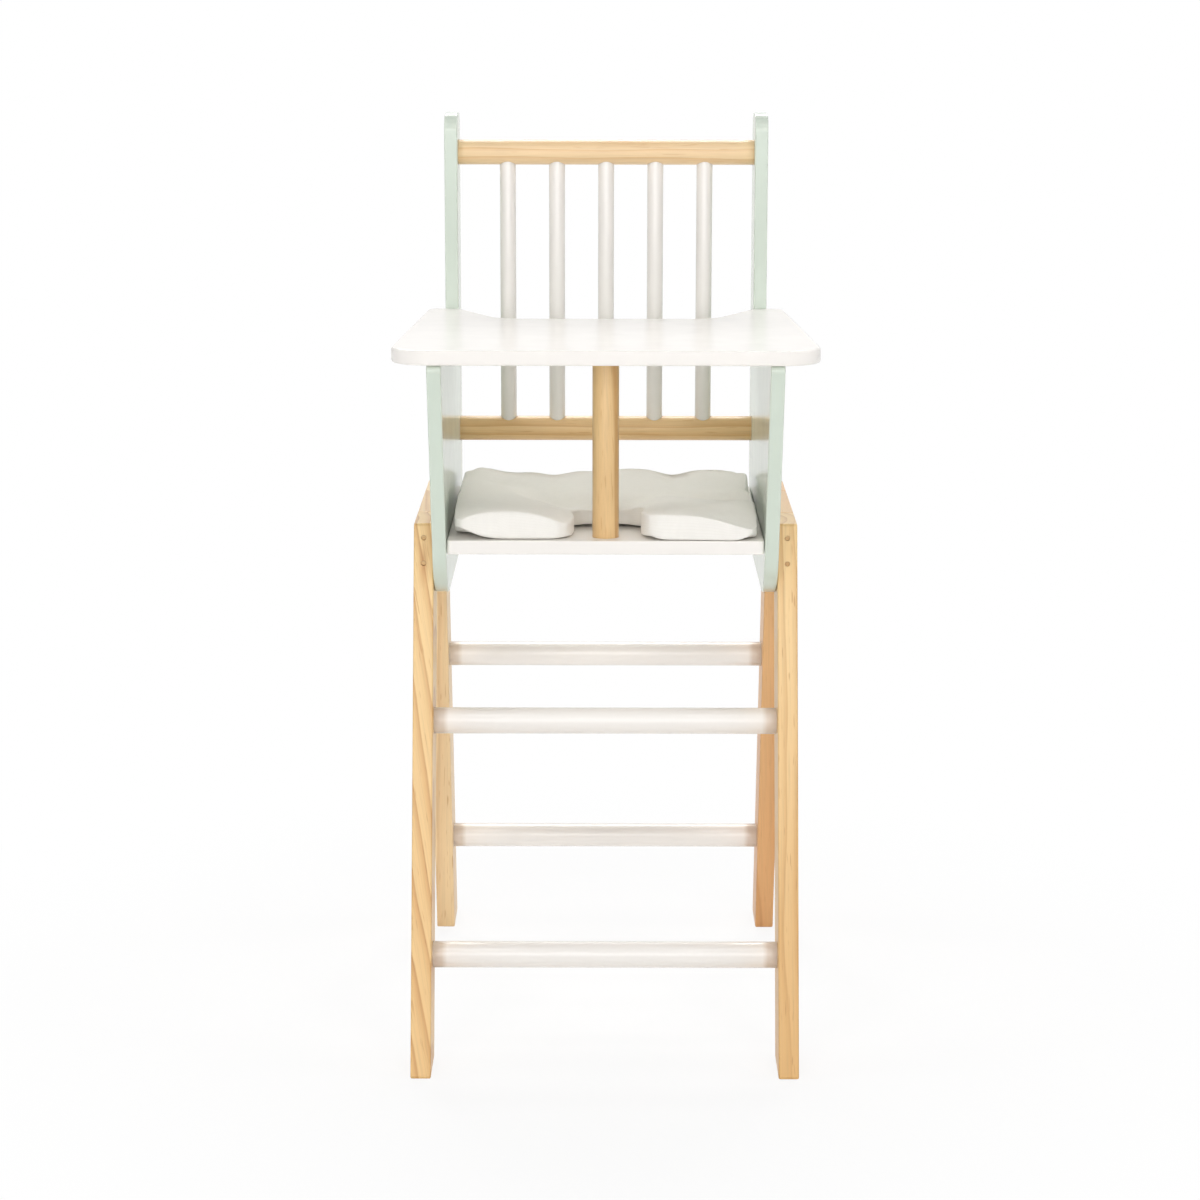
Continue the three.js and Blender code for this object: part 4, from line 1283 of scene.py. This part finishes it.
# %% [markdown]
# ### Settle the cushion on the seat
#
# The blown cover is fitted to the width, depth and height of the real one. Then the marks of use are
# copied: broad hollows where a doll's legs lay, puffs along the rear edge, corners pinched by the
# sewing, and a flat underside on the board. Each hollow or puff is a smooth dip or hill that moves the
# vertices near it.

# %% Fit, hollows and puffs
CUSHION_LOW = Vector((-98.6, -113.0, 337.4)) * MM
CUSHION_HIGH = Vector((98.4, 66.0, 356.4)) * MM
SEAT_CLEARANCE = 0.4 * MM
SEAM_LEVEL = 347 * MM
TOP_FULLNESS = 0.17
UNDERSIDE_FULLNESS = 0.22
UNDERSIDE_REST = 1.5

# x, y, half length, half width, turn of the long axis in degrees, height, all in mm
TOP_FORMS = [
    (-38, -46, 32, 12, -62, -10.5),
    (-66, 4, 24, 10, -40, -3.0),
    (-70, -86, 26, 24, 90, 2.0),
    (-60, -108, 32, 14, 0, 1.5),
    (76, -50, 30, 11, -22, -11.5),
    (54, -94, 24, 14, 8, 1.0),
    (86, -84, 20, 7, 34, 4.0),
    (-86, 52, 9, 24, 0, 3.0),
    (-62, 52, 13, 26, 0, -3.0),
    (-36, 52, 12, 30, 0, -5.0),
    (14, 48, 18, 28, 0, 1.5),
    (46, 52, 11, 28, 0, -5.5),
    (24, -56, 26, 6, 50, -5.0),
    (-22, -56, 20, 7, -40, -4.0),
    (84, -112, 22, 14, 0, -5.0),
    (-34, -112, 14, 14, 0, -3.0),
]

# x and y of a sewn corner, then reach and share of the pinch above the seam and below it
PINCHES = [
    (-98, -114, 12, 0.7, 15, 0.85),
    (98, -118, 20, 0.85, 11, 0.85),
    (-23, -115, 9, 0.8, 9, 0.4),
    (-23, -101, 8, 0.5, 9, 0.0),
    (23, -117, 5, 0.35, 7, 0.55),
    (-98, 66, 8, 0.5, 8, 0.5),
    (98, 66, 9, 0.85, 8, 0.5),
    (0, -84, 20, 0.92, 22, 0.75),
]

# x, y and reach of a place where the seam droops, then its depth
DROOPS = [
    (98, -117, 18, 3.5),
    (-23, -113, 12, 2.5),
    (0, -80, 18, 3.5),
]


def nearness(x, y, centre_x, centre_y, reach):
    """1 at a centre given in mm, and less the further away."""
    return math.exp(-(math.hypot(x / MM - centre_x, y / MM - centre_y) / reach) ** 2)


def form_height(x, y):
    total = 0.0
    for centre_x, centre_y, half_length, half_width, turn, height in TOP_FORMS:
        angle = math.radians(turn)
        dx, dy = x / MM - centre_x, y / MM - centre_y
        along = (dx * math.cos(angle) + dy * math.sin(angle)) / half_length
        across = (dy * math.cos(angle) - dx * math.sin(angle)) / half_width
        total += height * math.exp(-(along ** 2 + across ** 2))
    return total * MM


def pinched_share(x, y, above):
    left = 1.0
    for corner_x, corner_y, *pinch in PINCHES:
        reach, share = pinch[:2] if above else pinch[2:]
        left *= 1 - share * nearness(x, y, corner_x, corner_y, reach)
    return left


def seam_height(x, y):
    """The seam runs level and droops at two corners and behind the notch."""
    return SEAM_LEVEL - sum(depth * MM * nearness(x, y, *droop) for *droop, depth in DROOPS)


SIDE_REACH = 98 * MM
FRONT_REACH = {-1: 115 * MM, 1: 118.5 * MM}
LOBE_START = NOTCH_HALF_WIDTH - 8 * MM


def stretch_edges(piece, axis, along, stretch, wanted):
    """Moves the outer edge of each side to the wanted reach, and the cloth inside it less.

    axis 0 sets the left and right sides, axis 1 the front of the left and the right lobe. stretch is
    the first place along the edge, the last one and the number of steps, in mm.
    """
    first, last, steps = stretch
    spacing = (last - first) / steps
    for side in SIDES.values():
        stations = [(first + spacing * i) * MM for i in range(steps + 1)]
        reaches = []
        for station in stations:
            close = [v.co for v in piece.data.vertices
                     if abs(v.co[along] * (1 if axis == 0 else side) - station) < spacing * MM]
            reaches.append(max(p.x * side if axis == 0 else -p.y for p in close))
        for vertex in piece.data.vertices:
            place = vertex.co
            position = place[along] if axis == 0 else place.x * side
            outward = place.x * side if axis == 0 else -place.y
            if outward <= 0 or (axis == 1 and position < 0):
                continue
            index = min(max((position - stations[0]) / (spacing * MM), 0), steps - 1e-6)
            low = int(index)
            reach = reaches[low] + (reaches[low + 1] - reaches[low]) * (index - low)
            change = (wanted(side, position) - reach) * (outward / reach) ** 3
            if axis == 0:
                place.x += side * change
            elif position > LOBE_START:
                place.y -= change


soften = cover.modifiers.new("soften", "SMOOTH")
soften.factor = 0.5
soften.iterations = 2
apply_modifier(cover, soften)
now_low, now_high = span_of(cover)
for vertex in cover.data.vertices:
    for i in range(2):
        share = (vertex.co[i] - now_low[i]) / (now_high[i] - now_low[i])
        vertex.co[i] = CUSHION_LOW[i] + share * (CUSHION_HIGH[i] - CUSHION_LOW[i])
stretch_edges(cover, 0, 1, (-106, 58, 20), lambda side, y: SIDE_REACH)
stretch_edges(cover, 1, 0, (32, 90, 14), lambda side, x: FRONT_REACH[side])
for vertex in cover.data.vertices:
    place = vertex.co
    if place.z > middle:
        share = ((place.z - middle) / (now_high.z - middle)) ** TOP_FULLNESS
        rise = (CUSHION_HIGH.z - SEAM_LEVEL + form_height(place.x, place.y)) * share
    else:
        share = ((middle - place.z) / (middle - now_low.z)) ** UNDERSIDE_FULLNESS
        rise = -(SEAM_LEVEL - CUSHION_LOW.z) * min(1.0, share * UNDERSIDE_REST)
    rise *= pinched_share(place.x, place.y, place.z > middle)
    place.z = max(seam_height(place.x, place.y) + rise, CUSHION_LOW.z)
refine = cover.modifiers.new("refine", "SUBSURF")
refine.levels = refine.render_levels = 1
apply_modifier(cover, refine)
print("cushion vertices:", len(cover.data.vertices))

# %% Puckers along the seam
PUCKER_DEPTH = 0.7 * MM
PUCKER_SPREAD = 6 * MM
REAR_CORNERS = [(-100, 68), (100, 68)]
GATHER_FOLDS = 11
GATHER_DEPTH = 2.4 * MM
GATHER_REACH = 16 * MM
SEAM_DEPTH = 0.5 * MM
RIPPLE_SIZE = 5 * MM
CREASE_SIZE = 17 * MM
CREASE_SHARE = 0.6
CREASE_DRAW = 0.4               # creases are drawn out upwards
seam_now = cover.data.attributes["seam"]
for vertex in cover.data.vertices:
    near_seam = math.exp(-((vertex.co.z - SEAM_LEVEL) / PUCKER_SPREAD) ** 2)
    facing = 1 - abs(vertex.normal.z)
    ripple = noise.noise(Vector((vertex.co.x, vertex.co.y, 0)) / RIPPLE_SIZE)
    crease = noise.noise(Vector((vertex.co.x, vertex.co.y, vertex.co.z * CREASE_DRAW)) / CREASE_SIZE)
    depth = PUCKER_DEPTH * near_seam * facing * (ripple + CREASE_SHARE * crease)
    depth -= SEAM_DEPTH * seam_now.data[vertex.index].value * facing
    for corner_x, corner_y in REAR_CORNERS:
        aside, behind = vertex.co.x - corner_x * MM, vertex.co.y - corner_y * MM
        folds = 0.5 + 0.5 * math.sin(GATHER_FOLDS * math.atan2(behind, aside))
        depth -= GATHER_DEPTH * folds * math.exp(-(math.hypot(aside, behind) / GATHER_REACH) ** 2)
    vertex.co += vertex.normal * depth
    vertex.co.z = max(vertex.co.z, seat_top + SEAT_CLEARANCE)
take_up(cover)
bpy.ops.object.shade_smooth()
dress(cover, cushion_cloth, "loose_cushion", "cushion_cloth", "cushion")
print("cushion top in mm:", round(max(v.co.z for v in cover.data.vertices) / MM, 1))

# %% [markdown]
# ## The tray pegs
#
# The pegs hide between the tray and the arms and show only when the tray is lifted, so their measured
# solids stay as they are and only get a finish.

# %% Tray pegs
for node in sorted(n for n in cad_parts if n.startswith("tray_peg_")):
    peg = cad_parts[node]
    peg.data.materials.clear()
    peg.data.materials.append(pin_wood["right"])
print("pegs dressed")
